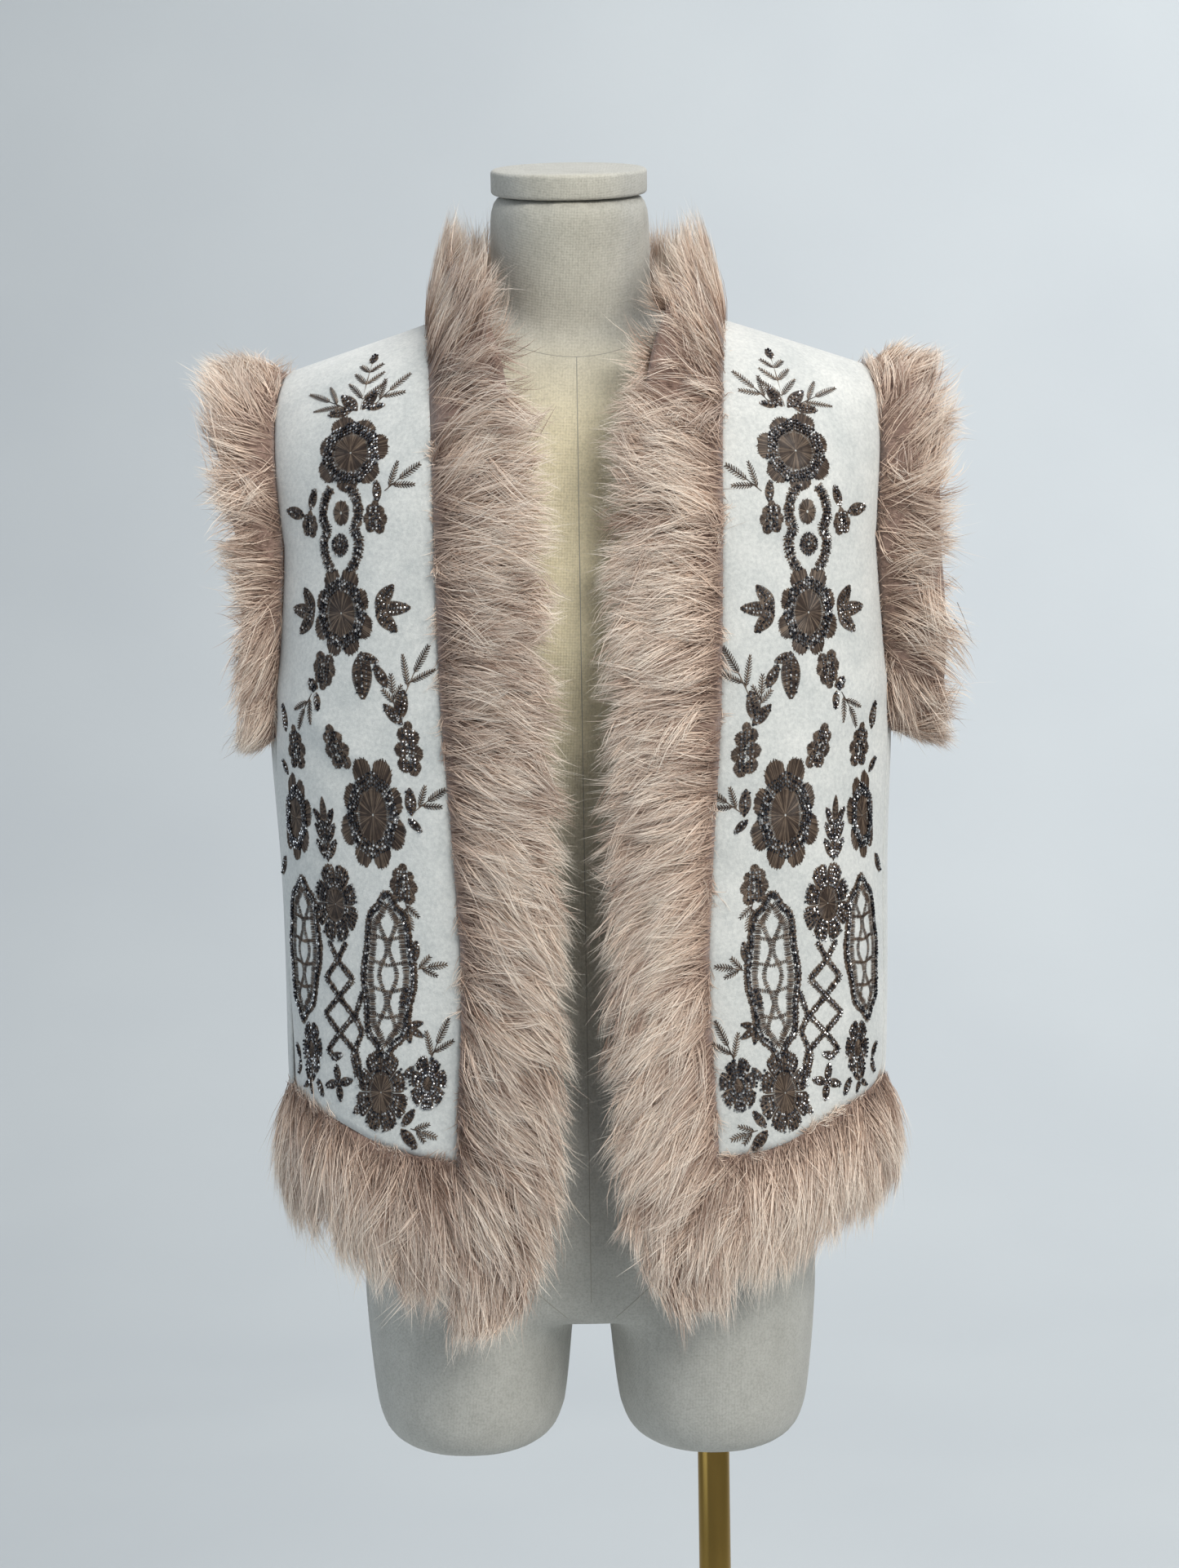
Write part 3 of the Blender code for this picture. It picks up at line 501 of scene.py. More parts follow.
def crease(grid, side):
    """Soft folds: under the armhole towards the waist, and short ripples beside the fur band."""
    x, z = np.abs(grid[..., 0]), grid[..., 2]
    slant = (z - FOLD_Z) * FOLD_RISE - (x - FOLD_X) * FOLD_RUN
    folds = [high * bell(slant, at, wide) * bell(x, out, long) for high, at, wide, out, long in FOLDS]
    ripple = RIPPLE_HEIGHT * np.sin(z * RIPPLE_PACE + side) * bell(x, *RIPPLE_X)
    ripple *= bell(z, *RIPPLE_Z) * RIPPLE_SHARE[side]
    drape = DRAPE_HEIGHT * np.sin(z * 21 + x * 60 + side * 1.3)
    return (sum(folds) + ripple + drape) * np.clip((FOLDS_END_Z - z) / FOLDS_FADE, 0, 1)


def normals_of(grid):
    across = np.gradient(grid, axis=1)
    up = np.gradient(grid, axis=0)
    return unit(np.cross(across, up))


def front_panel_grid(columns=44, low=50, scoop=18, shoulder=28):
    shares = np.linspace(0, 1, columns)
    hem = smooth(shares, HEM_SHARE, HEM_FRONT_Z)
    rows = []
    for rise in np.linspace(0, 1, low):
        z = hem + (UNDERARM_Z - hem) * rise
        inner = seam_angle(z)
        rows.append(vest_ring(inner + (SIDE_ANGLE - SIDE_GAP_ANGLE - inner) * shares, z))
    for z in np.linspace(UNDERARM_Z, CHEST_Z, scoop + 1)[1:]:
        inner = seam_angle(z)
        rows.append(vest_ring(inner + (armhole_front_angle(z) - inner) * shares, z))
    for v in np.linspace(0, 1, shoulder + 1)[1:]:
        rows.append(np.array([front_column(share, v) for share in shares]))
    return np.array(rows)


def back_panel_grid():
    corner = NECK_X / TIP_X
    shares = np.concatenate([np.linspace(0, corner, 20), np.linspace(corner, 1, 17)[1:]])
    hem = smooth(1 - shares, HEM_SHARE, HEM_BACK_Z)
    rows = []
    for rise in np.linspace(0, 1, 38):
        z = hem + (UNDERARM_Z - hem) * rise
        rows.append(vest_ring(math.pi + (SIDE_ANGLE + SIDE_GAP_ANGLE - math.pi) * shares, z))
    for lift in np.linspace(0.02, 1, 18) ** 2:
        z = UNDERARM_Z + ARMHOLE_SCOOP * lift * 0.999
        rows.append(vest_ring(math.pi + (armhole_back_angle(z) - math.pi) * shares, z))
    rows.append(vest_ring(math.pi + (ARMHOLE_BACK_ANGLE - math.pi) * shares, CHEST_Z))
    for v in np.linspace(0, 1, 26)[1:]:
        rows.append(np.array([back_column(share, v) for share in shares]))
    half = np.array(rows)
    return np.concatenate([half[:, :0:-1] * MIRROR, half], axis=1)


def edge_roll(rows, columns):
    """How far the cloth dips at its edges, where it is turned under and stitched."""
    r = np.minimum(np.arange(rows), np.arange(rows)[::-1])[:, None]
    c = np.minimum(np.arange(columns), np.arange(columns)[::-1])[None, :]
    return EDGE_DIP * np.exp(-np.minimum(r, c) / 1.1)


def suede_panel(name, grid, flip, relief, material):
    """A thin closed shell over a grid. flip turns the faces when the grid's columns run the other way."""
    rows, columns = grid.shape[:2]
    normals = normals_of(grid) * (-1 if flip else 1)
    inner = grid + normals * relief[..., None]
    roll = edge_roll(rows, columns)[..., None]
    outer = inner + normals * (SUEDE_WALL - roll)
    faces = grid_faces(rows, columns)
    faces = faces[:, ::-1] if flip else faces
    count = rows * columns
    index = np.arange(count).reshape(rows, columns)
    rim = np.concatenate([index[0], index[1:, -1], index[-1, -2::-1], index[-2:0:-1, 0]])
    ahead = np.roll(rim, -1)
    sides = np.stack([rim, ahead, ahead + count, rim + count], axis=-1)
    sides = sides[:, ::-1] if flip else sides
    points = np.concatenate([inner.reshape(-1, 3), outer.reshape(-1, 3)])
    made = add_mesh(name, points, np.concatenate([faces[:, ::-1], faces + count, sides]))
    use(made, material)
    return made


# Embroidery: the design is drawn once, in millimetres from the band seam and in height, and mirrored

# middle u, middle w, outer radii u and w, tilt, petals, share of the radii that the eye takes
FLOWERS = (
    (57, 1329, 28.0, 28.5, -10, 7, 0.50),
    (67, 1224, 24.5, 31.0, 0, 8, 0.50),
    (54, 1093, 25.5, 39.0, -5, 8, 0.47),
    (119, 1090, 16.5, 31.0, -8, 7, 0.46),
)
# the same columns: flowers whose petals are beaded and stand round a loose eye
BEADED_FLOWERS = (
    (89, 1034, 19.5, 27.0, -4, 8, 0.40),
    (54, 912, 19.5, 28.0, 0, 8, 0.46),
    (22, 919, 13.0, 18.5, 0, 7, 0.24),
    (117, 936, 12.5, 19.0, 6, 6, 0.30),
)
# pattern, foot u, foot w, heading in degrees from up towards the side seam, size
SPRAYS = (
    ("sprig", 49, 1360, -13, 52),
    ("leaf", 51, 1359, 34, 21),
    ("leaf", 54, 1361, 88, 20),
    ("fern", 60, 1364, 52, 34),
    ("leaf", 48, 1359, -40, 19),
    ("leaf", 45, 1360, -92, 14),
    ("fern", 38, 1362, -50, 30),
    ("leaf", 92, 1293, -20, 17),
    ("leaf", 97, 1290, 72, 21),
    ("bud", 94, 1275, -6, 16),
    ("bud", 40, 1275, 0, 18),
    ("leaf", 38, 1294, 4, 15),
    ("fern", 33, 1301, -56, 28),
    ("trefoil", 89, 1224, 80, 26),
    ("trefoil", 43, 1226, -88, 26),
    ("bud", 81, 1199, 172, 22),
    ("leaf", 53, 1200, 179, 33),
    ("leaf", 56, 1197, -108, 16),
    ("leaf", 36, 1175, 28, 18),
    ("bud", 90, 1174, 40, 9),
    ("leaf", 90, 1173, -172, 13),
    ("fern", 94, 1172, 148, 27),
    ("leaf", 127, 1146, 5, 20),
    ("bud", 112, 1121, 9, 28),
    ("bud", 72, 1121, 14, 29),
    ("bud", 25, 1117, -2, 34),
    ("leaf", 27, 1151, 42, 19),
    ("leaf", 30, 1153, -13, 22),
    ("fern", 32, 1163, 6, 20),
    ("fern", 24, 1172, -27, 34),
    ("leaf", 125, 1118, 40, 14),
    ("leaf", 26, 1092, 0, 19),
    ("leaf", 29, 1091, -134, 13),
    ("fern", 23, 1096, -55, 25),
    ("pine", 92, 1056, 0, 48),
    ("bud", 36, 1035, -2, 24),
    ("fern", 35, 1037, -168, 18),
    ("leaf", 33, 996, -14, 17),
    ("fern", 31, 993, -78, 20),
    ("trefoil", 37, 956, -122, 14),
    ("leaf", 36, 982, 160, 14),
    ("cross", 88, 916, 0, 13),
    ("leaf", 96, 932, -75, 12),
    ("fern", 21, 933, -20, 29),
    ("leaf", 38, 921, -34, 11),
    ("leaf", 39, 890, -36, 15),
    ("leaf", 40, 889, -139, 18),
    ("fern", 33, 889, -104, 18),
    ("leaf", 68, 903, 135, 9),
    ("leaf", 134, 927, 34, 13),
    ("leaf", 133, 927, 154, 12),
    ("cross", 120, 914, 20, 9),
    ("leaf", 110, 917, -148, 14),
    ("leaf", 138, 1064, 141, 18),
)
# middle u, middle w, radii u and w, tilt
MEDALLIONS = ((50, 989, 17.5, 51.0, -2), (124, 1002, 17.0, 46.0, -6))
# middle u, middle w, half width and half height of the double ring that links the two upper flowers
LINK = (66.5, 1279, 14.5, 27.0)
# the lattice strap's lines, as places (u, w)
LATTICE = (
    ((97, 1009), (90, 997), (77, 985), (89, 973), (102, 961), (88, 949), (73, 937), (69, 921)),
    ((82, 1009), (90, 997), (101, 985), (89, 973), (76, 961), (88, 949), (99, 937), (90, 932)),
    ((69, 977), (75, 961), (69, 951), (76, 935), (72, 921)),
)


class Panel:
    """The outer face of one front, found from a place (u, w) of the design in millimetres."""

    def __init__(self, side):
        self.side = side
        shares = np.linspace(0, 1, 121)
        rows = []
        heights = []
        for z in np.arange(DESIGN_FOOT_Z, CHEST_Z, DESIGN_STEP_Z):
            inner = seam_angle(z)
            outer = SIDE_ANGLE if z < UNDERARM_Z else float(armhole_front_angle(z))
            rows.append(vest_ring(inner + (outer - inner) * shares, z))
            heights.append(z)
        w = heights[-1]
        for v in np.linspace(0, 1, 61):
            row = np.array([front_column(share, v) for share in shares])
            w += np.linalg.norm(row[50] - rows[-1][50])
            rows.append(row)
            heights.append(w)
        self.heights = np.array(heights) * 1000
        places = np.arange(0, DESIGN_WIDTH, DESIGN_STEP)
        even = []
        for row in rows:
            lengths = lengths_along(row) * 1000
            beyond = (places - np.minimum(places, lengths[-1]))[:, None] / 1000
            even.append(read_line(row, lengths, places) + unit(row[-1] - row[-2]) * beyond)
        grid = np.array(even) if side > 0 else np.array(even) * MIRROR
        self.normals = normals_of(grid) * side
        self.grid = grid + self.normals * (crease(grid, side) + SUEDE_WALL)[..., None]
        self.shift = np.array(DESIGN_SHIFT["right" if side > 0 else "left"])

    def read(self, table, u, w):
        row = np.interp(w, self.heights, np.arange(len(self.heights)))
        row = np.clip(row, 0, len(self.heights) - 1.001)
        column = np.clip(u / DESIGN_STEP, 0, table.shape[1] - 1.001)
        i, j = row.astype(int), column.astype(int)
        f, g = (row - i)[..., None], (column - j)[..., None]
        near = table[i, j] * (1 - g) + table[i, j + 1] * g
        far = table[i + 1, j] * (1 - g) + table[i + 1, j + 1] * g
        return near * (1 - f) + far * f

    def place(self, points):
        """Points (u, w, height above the cloth) in millimetres to places in the scene."""
        u, w = points[..., 0] + self.shift[0], points[..., 1] + self.shift[1]
        lift = points[..., 2:] / 1000
        return self.read(self.grid, u, w) + self.read(self.normals, u, w) * lift


def turned_about(points, middle, tilt):
    a = math.radians(tilt)
    u, w = points[..., 0], points[..., 1]
    turned_u, turned_w = u * math.cos(a) + w * math.sin(a), w * math.cos(a) - u * math.sin(a)
    return np.stack([turned_u + middle[0], turned_w + middle[1]], axis=-1)


def headed(heading):
    """The ways ahead and to the side for a heading in degrees."""
    a = math.radians(heading)
    return np.array([math.sin(a), math.cos(a)]), np.array([math.cos(a), -math.sin(a)])


def oval(angles, radii):
    return np.stack([np.sin(angles) * radii[0], np.cos(angles) * radii[1]], axis=-1)


class Stitches:
    """Collects satin threads and beads in the design's millimetres."""

    def __init__(self, seed):
        self.random = np.random.default_rng(seed)
        self.starts, self.ends, self.widths, self.beads, self.sizes = [], [], [], [], []

    def threads(self, starts, ends, width=THREAD_PITCH, base=0.0):
        starts, ends = np.asarray(starts, float), np.asarray(ends, float)
        lift = np.full(len(starts), base)
        self.starts.append(np.column_stack([starts, lift]))
        self.ends.append(np.column_stack([ends, lift]))
        self.widths.append(np.full(len(starts), width))

    def bead_line(self, line, spacing=2.05, size=BEAD_RADIUS, base=0.5):
        lengths = lengths_along(line)
        count = max(2, int(lengths[-1] / spacing) + 1)
        spots = read_line(line, lengths, np.linspace(0, lengths[-1], count))
        spots = spots + self.random.normal(0, 0.24, spots.shape)
        self.beads.append(np.column_stack([spots, np.full(count, base)]))
        self.sizes.append(size * self.random.uniform(0.82, 1.12, count))

    def comb(self, line, reach, pitch=0.8, beads=False, lean=0.25):
        """Short close stitches across a line, as a couched or buttonholed edge."""
        lengths = lengths_along(line)
        spots = read_line(line, lengths, np.arange(0, lengths[-1], pitch))
        ahead = unit(np.gradient(spots, axis=0))
        out = np.column_stack([ahead[:, 1], -ahead[:, 0]])
        wobble = self.random.uniform(0.75, 1.15, (len(spots), 1))
        starts = spots - (out - ahead * lean) * reach * wobble
        self.threads(starts, spots + (out + ahead * lean) * reach * wobble)
        if beads:
            self.bead_line(line, base=0.65)

    def leaf(self, foot, heading, length, width, beads=True):
        """An almond of satin stitch in two halves, with beads along its middle."""
        ahead, out = headed(heading)
        foot = np.asarray(foot, float)
        along = np.arange(0.03, 0.97, THREAD_PITCH / length)
        half = width * 0.5 * np.sin(math.pi * along**0.8) ** 0.7
        for side in (-1, 1):
            starts = foot + ahead * (along * length)[:, None]
            ends = foot + ahead * ((along + 0.10 * (1 - along)) * length)[:, None]
            self.threads(starts, ends + out * (side * half)[:, None])
        if beads:
            line = np.array([foot + ahead * length * 0.12, foot + ahead * length * 0.90])
            self.bead_line(line, 2.1)
            if width > 5.5:
                for side in (-1, 1):
                    shift = out * side * width * 0.24
                    self.bead_line(line * 0.85 + line.mean(axis=0) * 0.15 + shift, 2.6, 0.8, 0.4)

    def feather(self, foot, heading, length, width):
        """A fine stem with short slanting stitches on both sides."""
        ahead, out = headed(heading)
        foot = np.asarray(foot, float)
        self.threads([foot], [foot + ahead * length], 0.7, 0.15)
        along = np.arange(0.08, 1.0, 1.8 / length)
        half = width * 0.5 * np.sin(math.pi * (0.12 + 0.85 * along)) ** 0.6
        for side in (-1, 1):
            starts = foot + ahead * (along * length)[:, None]
            self.threads(starts, starts + ahead * 2.1 + out * (side * half)[:, None], 0.75)

    def bud(self, foot, heading, length):
        """A close cluster of rounded, beaded petals in pairs."""
        ahead, out = headed(heading)
        width = min(length * 0.80, 16.5)
        foot = np.asarray(foot, float)
        for along, swing, size in ((0.22, 0.22, 0.27), (0.50, 0.30, 0.31), (0.78, 0.20, 0.27)):
            for side in (-1, 1):
                middle = foot + ahead * length * (along + 0.03 * side) + out * side * width * swing
                self.eye(middle, (width * size, max(length * 0.16, width * size)), heading + 25 * side, 0.10)
        self.eye(foot + ahead * length * 0.97, (width * 0.20, width * 0.24), heading, 0.10)
        for side in (-0.6, -0.2, 0.2, 0.6):
            shift = out * side * width * 0.42
            line = [foot + ahead * length * 0.16 + shift, foot + ahead * length * 0.9 + shift * 0.8]
            self.bead_line(np.array(line), 2.2)

    def eye(self, middle, radii, tilt, hollow=0.12):
        """Radial satin stitches that fill an oval."""
        around = 2 * math.pi * math.sqrt((radii[0] ** 2 + radii[1] ** 2) / 2)
        count = max(10, int(around / (THREAD_PITCH * 1.05)))
        angles = np.arange(count) / count * 2 * math.pi
        edge = oval(angles, radii)
        wobble = self.random.uniform(0.90, 1.06, (count, 1))
        short = np.where(np.arange(count) % 2, hollow, hollow + 0.30)[:, None]
        self.threads(turned_about(edge * short, middle, tilt), turned_about(edge * wobble, middle, tilt))

    def ring(self, middle, radii, tilt, waves_count=0, wave=0.0, count=96):
        angles = np.linspace(0, 2 * math.pi, count + 1)
        swell = 1 + wave * np.cos(angles * waves_count)
        return turned_about(oval(angles, radii) * swell[:, None], middle, tilt)

    def petals(self, middle, radii, tilt, count, inner, depth=0.40, beads=False):
        """Fan-stitched round petals that stand round an oval."""
        for petal in range(count):
            centre_angle = (petal + 0.5) * 2 * math.pi / count
            spread = math.pi / count
            stitches = int(spread * 2 * (radii[0] + radii[1]) / 2 * 1.25 / THREAD_PITCH)
            across = np.linspace(-1, 1, stitches)
            angles = centre_angle + across * spread * 0.93
            notch = inner + (1 - inner) * depth
            bulge = notch + (1 - notch) * np.sqrt(np.clip(1 - np.abs(across) ** 2.4, 0, 1))
            bulge *= self.random.uniform(0.97, 1.03, stitches) * (0.94 + 0.06 * math.cos(petal * 2.7))
            foot_angles = centre_angle + across * spread * 0.86
            foot = oval(foot_angles, radii) * inner * 0.93
            edge = oval(angles, radii) * bulge[:, None]
            self.threads(turned_about(foot, middle, tilt), turned_about(edge, middle, tilt))
            if beads:
                for share in (0.0, 0.34, -0.34, 0.68, -0.68):
                    spoke = oval(centre_angle + share * spread, radii)
                    line = np.array([spoke * (inner + 0.06), spoke * 0.90])
                    self.bead_line(turned_about(line, middle, tilt), 2.1)

    def flower(self, u, w, radius_u, radius_w, tilt, count, eye):
        middle, radii = (u, w), np.array([radius_u, radius_w])
        self.petals(middle, radii, tilt, count, eye)
        self.eye(middle, radii * eye, tilt, 0.05)
        for share, size in ((eye + 0.01, 1.0), (eye + 0.08, 1.15), (eye + 0.15, 1.15), (eye + 0.22, 1.0)):
            line = self.ring(middle, radii * share, tilt, count, 0.035)
            self.bead_line(line, 2.2, BEAD_RADIUS * size, 0.75)

    def beaded_flower(self, u, w, radius_u, radius_w, tilt, count, eye):
        middle, radii = (u, w), np.array([radius_u, radius_w])
        self.petals(middle, radii, tilt, count, eye, 0.70, beads=True)
        self.eye(middle, radii * eye, tilt, 0.05)

    def link(self, u, w, half_width, half_height):
        heights = np.linspace(-1, 1, 60)
        waist = 1 - 0.26 * bell(heights, 0.0, 0.16)
        swell = half_width * np.sqrt(np.clip(1.02 - (np.abs(heights) * 0.92) ** 3.0, 0, 1)) * waist
        for side in (-1, 1):
            line = np.stack([u + side * swell, w + heights * half_height], axis=1)
            self.comb(line, 3.9, beads=True, pitch=0.8)
            for shift in (-1.9, 1.9):
                self.bead_line(line + np.array([shift, 0.0]), 2.3)
        self.eye((u - 0.8, w + 10.5), (6.6, 8.6), 0)
        self.eye((u + 0.4, w - 10.5), (7.0, 7.8), 0)
        for share in (0.25, 0.6, 0.9):
            self.bead_line(self.ring((u + 0.4, w - 10.5), np.array([6.6, 7.4]) * share, 0), 2.2)

    def medallion(self, u, w, radius_u, radius_w, tilt):
        middle, radii = (u, w), np.array([radius_u, radius_w])
        rim = self.ring(middle, radii, tilt, 8, 0.045, 160)
        self.comb(rim, 2.6, pitch=0.75)
        self.bead_line(rim, 1.95, 1.1, 0.7)
        self.bead_line(self.ring(middle, radii * (0.90, 0.96), tilt, 8, 0.045, 160), 2.1, 0.95, 0.6)
        self.comb(self.ring(middle, radii * (0.70, 0.86), tilt, 8, 0.05, 160), 2.4, pitch=1.05)
        for side in (-1, 1):
            heights = np.linspace(-0.76, 0.76, 60)
            across = side * (0.20 + 0.16 * np.cos(heights * 9.0)) * radii[0]
            line = turned_about(np.stack([across, heights * radii[1]], axis=1), middle, tilt)
            self.comb(line, 1.7, pitch=1.1)
        for height in (-0.50, -0.17, 0.17, 0.50):
            line = np.array([(-0.62, height), (0.0, height - 0.05), (0.62, height)]) * radii
            self.comb(turned_about(line, middle, tilt), 1.3, pitch=1.2)

    def spray(self, pattern, u, w, heading, size):
        foot = np.array([u, w], float)
        ahead = headed(heading)[0]
        if pattern == "leaf":
            self.leaf(foot, heading, size, max(6.0, size * 0.44))
        elif pattern == "bud":
            self.bud(foot, heading, size)
        elif pattern == "trefoil":
            for turn, share in ((-48, 0.85), (0, 1.0), (48, 0.85)):
                self.leaf(foot + ahead * size * 0.04, heading + turn, size * share * 0.95, size * 0.38)
        elif pattern == "cross":
            for turn in (0, 90, 180, 270):
                self.leaf(foot, heading + turn + 12, size, size * 0.50)
        elif pattern == "fern":
            self.threads([foot], [foot + ahead * size * 0.5], 0.6, 0.1)
            self.feather(foot + ahead * size * 0.40, heading - 4, size * 0.62, 5.4)
            self.feather(foot + ahead * size * 0.12, heading + 34, size * 0.58, 4.6)
            self.feather(foot + ahead * size * 0.22, heading - 38, size * 0.52, 4.4)
        elif pattern == "sprig":
            self.threads([foot], [foot + ahead * size * 0.84], 0.7, 0.1)
            for along, length in ((0.16, 0.34), (0.40, 0.27), (0.62, 0.22)):
                for turn in (-46, 42):
                    self.feather(foot + ahead * size * along, heading + turn, size * length, 4.8)
            self.leaf(foot + ahead * size * 0.80, heading, size * 0.22, 6.5)
        elif pattern == "pine":
            for along in (0.14, 0.36, 0.56):
                for turn in (-30, 30):
                    self.leaf(foot + ahead * size * along, heading + turn, size * 0.34, 6.0)
            self.leaf(foot + ahead * size * 0.10, heading, size * 0.62, 5.5)
            self.leaf(foot + ahead * size * 0.64, heading, size * 0.38, 5.5, beads=False)


def drawn_design(seed):
    made = Stitches(seed)
    for row in FLOWERS:
        made.flower(*row)
    for row in BEADED_FLOWERS:
        made.beaded_flower(*row)
    for row in SPRAYS:
        made.spray(*row)
    for row in MEDALLIONS:
        made.medallion(*row)
    made.link(*LINK)
    for places in LATTICE:
        made.comb(np.array(places, float), 2.4, pitch=0.8, beads=True)
    return made


def thread_mesh(name, panel, design, material):
    """Each thread is a low ridge, three points wide and three stations long."""
    starts, ends = np.concatenate(design.starts), np.concatenate(design.ends)
    widths = np.concatenate(design.widths)
    ahead = ends[:, :2] - starts[:, :2]
    out = unit(np.column_stack([ahead[:, 1], -ahead[:, 0]])) * (widths * 0.5)[:, None]
    points = []
    for t, breadth, rise in ((0.0, 0.95, 0.2), (0.55, 1.1, 1.0), (1.0, 0.65, 0.1)):
        here = starts + (ends - starts) * t
        for across, height in ((-1, 0.08), (0, THREAD_REST + THREAD_HEIGHT * rise), (1, 0.08)):
            spot = here.copy()
            spot[:, :2] += out * across * breadth
            spot[:, 2] += height
            points.append(spot)
    points = np.stack(points, axis=1)
    pattern = np.array([[0, 1, 4, 3], [1, 2, 5, 4], [3, 4, 7, 6], [4, 5, 8, 7]])
    pattern = pattern if panel.side > 0 else pattern[:, ::-1]
    made = add_mesh(name, panel.place(points.reshape(-1, 3)), copies(pattern, len(points), 9))
    made.data.materials.append(material)
    return made


def bead_mesh(name, panel, design, material):
    """Cut beads, each a short faceted barrel that sits on the threads."""
    spots, sizes = np.concatenate(design.beads), np.concatenate(design.sizes)
    middles = panel.place(spots)
    normal = unit(panel.place(spots + np.array([0.0, 0.0, 1.0])) - middles)
    side_way = unit(np.cross(normal, np.array([0.0, 0.0, 1.0])))
    up_way = np.cross(side_way, normal)
    spin = design.random.uniform(0, 6.28, len(spots))
    rings = []
    for height, radius in ((-0.40, 0.90), (0.55, 0.86)):
        for corner in range(BEAD_POINTS):
            angle = spin + corner * 2 * math.pi / BEAD_POINTS
            around = side_way * np.cos(angle)[:, None] + up_way * np.sin(angle)[:, None]
            rings.append(middles + (around * radius + normal * height) * (sizes / 1000)[:, None])
    rings.append(middles + normal * (sizes / 1000)[:, None])
    points = np.stack(rings, axis=1)
    n = BEAD_POINTS
    pattern = []
    for c in range(n):
        d = (c + 1) % n
        pattern += [(c, d, d + n), (c, d + n, c + n), (n + c, n + d, 2 * n)]
    faces = copies(pattern, len(points), 2 * n + 1)
    made = add_mesh(name, points.reshape(-1, 3), faces)
    made.data.polygons.foreach_set("use_smooth", np.zeros(len(faces), bool))
    made.data.materials.append(material)
    return made


def thread_look():
    look = Look("bronze thread", roughness=0.45)
    look.shader.inputs["Specular IOR Level"].default_value = 0.35
    tones = [(0.0, (0.010, 0.006, 0.005)), (0.50, (0.050, 0.031, 0.021)), (1.0, (0.26, 0.19, 0.135))]
    strand = look.node("ShaderNodeNewGeometry").outputs["Random Per Island"]
    patch = look.maths("MULTIPLY", look.noise(160, 3, 0.6), 0.5)
    look.colour(look.ramp(look.maths("ADD", look.maths("MULTIPLY", strand, 0.55), patch), tones))
    look.bump(look.noise(2600, 2, 0.5), 0.0001, 0.5)
    return look.material


def bead_look():
    look = Look("pewter beads", roughness=0.20, metallic=1.0)
    greys = [(0.0, (0.02, 0.02, 0.027)), (0.45, (0.10, 0.10, 0.11))]
    # The lighter beads, up to near white, are partly lighter silver beads and partly painted glints.
    painted_glints = [(0.75, (0.32, 0.31, 0.31)), (1.0, (0.95, 0.94, 0.92))]
    look.colour(look.ramp(look.node("ShaderNodeNewGeometry").outputs["Random Per Island"], greys + painted_glints))
    look.bump(look.noise(1500, 1), 0.00005, 0.3)
    return look.material


def make_embroidery():
    thread, bead = thread_look(), bead_look()
    for side, hand in SIDES:
        panel, design = Panel(side), drawn_design(5)
        thread_mesh(f"front_panel_{hand}_embroidery", panel, design, thread)
        bead_mesh(f"front_panel_{hand}_beads", panel, design, bead)


# Fur


def leaning(outward, up, lean):
    """A strip's own directions: across from the seam to the free edge, and away from the body."""
    across = -math.cos(lean) * outward + math.sin(lean) * up
    away = math.cos(lean) * up + math.sin(lean) * outward
    return across, away


def band_axes(along, lean):
    along = unit(along)
    outward = unit(SIDEWAYS - along * SIDEWAYS.dot(along))
    return leaning(outward, np.cross(outward, along), lean)


class Strip:
    """A fur strip as frames along its seam: a place, the way across, the way out, its width and depths."""

    def __init__(self, rows, over, below, closed=False):
        self.closed = closed
        rows = rows + [rows[0]] if closed else rows
        columns = [np.array(column) for column in zip(*rows)]
        self.point, self.across, self.away, self.width, self.proud, self.under = columns
        self.over, self.below = np.array(over), np.array(below)
        self.places = lengths_along(self.point)
        self.length = self.places[-1]

    def read(self, table, s):
        s = np.mod(s, self.length) if self.closed else np.clip(s, 0, self.length)
        if table.ndim == 1:
            return np.interp(s, self.places, table)
        return read_line(table, self.places, s)

    def depth(self, s, share, side):
        """How far the pile stands out at a share of the width, on the outer (1) or inner (-1) side."""
        table, size = (self.over, self.proud) if side > 0 else (self.below, self.under)
        return np.interp(share, table[:, 0], table[:, 1]) * self.read(size, s) * side

    def place(self, s, across, away):
        """Distances along the seam, across the strip and away from the body, as places in the scene."""
        point = self.read(self.point, s) + self.read(self.across, s) * across[..., None]
        point = point + self.read(self.away, s) * away[..., None]
        if self.closed:
            return point
        beyond = (s - np.clip(s, 0, self.length))[..., None]
        first, last = unit(self.point[1] - self.point[0]), unit(self.point[-1] - self.point[-2])
        return point + np.where(beyond < 0, first, last) * beyond

    def on_side(self, side):
        """This strip, made for the right-hand side, or its mirror image."""
        if side > 0:
            return self
        other = copy.copy(self)
        other.point, other.across, other.away = [x * MIRROR for x in (self.point, self.across, self.away)]
        return other


def band_strip(drop):
    """One front's band, from its lower end to its joint with the collar. drop lowers the end."""
    low, high = BAND_END_Z[0], BAND_END_Z[-1]
    ends = [high - (high - z) * (1 + drop / (high - low)) for z in BAND_END_Z]
    rows = []
    for z in np.linspace(ends[0], CHEST_Z - 1e-4, 80):
        here = vest_ring(seam_angle(z), z)
        along = vest_ring(seam_angle(z + 1e-3), z + 1e-3) - here
        across, away = band_axes(along, BAND_LEAN)
        width = (here[0] - smooth(z, BAND_INNER_Z, BAND_INNER_X)) / math.cos(BAND_LEAN)
        width *= np.interp(z, ends, BAND_END_WIDTH)
        depth = np.interp(z, ends, BAND_END_DEPTH)
        rows.append((here, across, away, width, BAND_PROUD * depth, BAND_UNDER * depth))
    rows += [neck_row(v) for v in np.linspace(0.02, COLLAR_JOINT, 12)]
    return Strip(rows, BAND_OVER, BAND_BELOW)


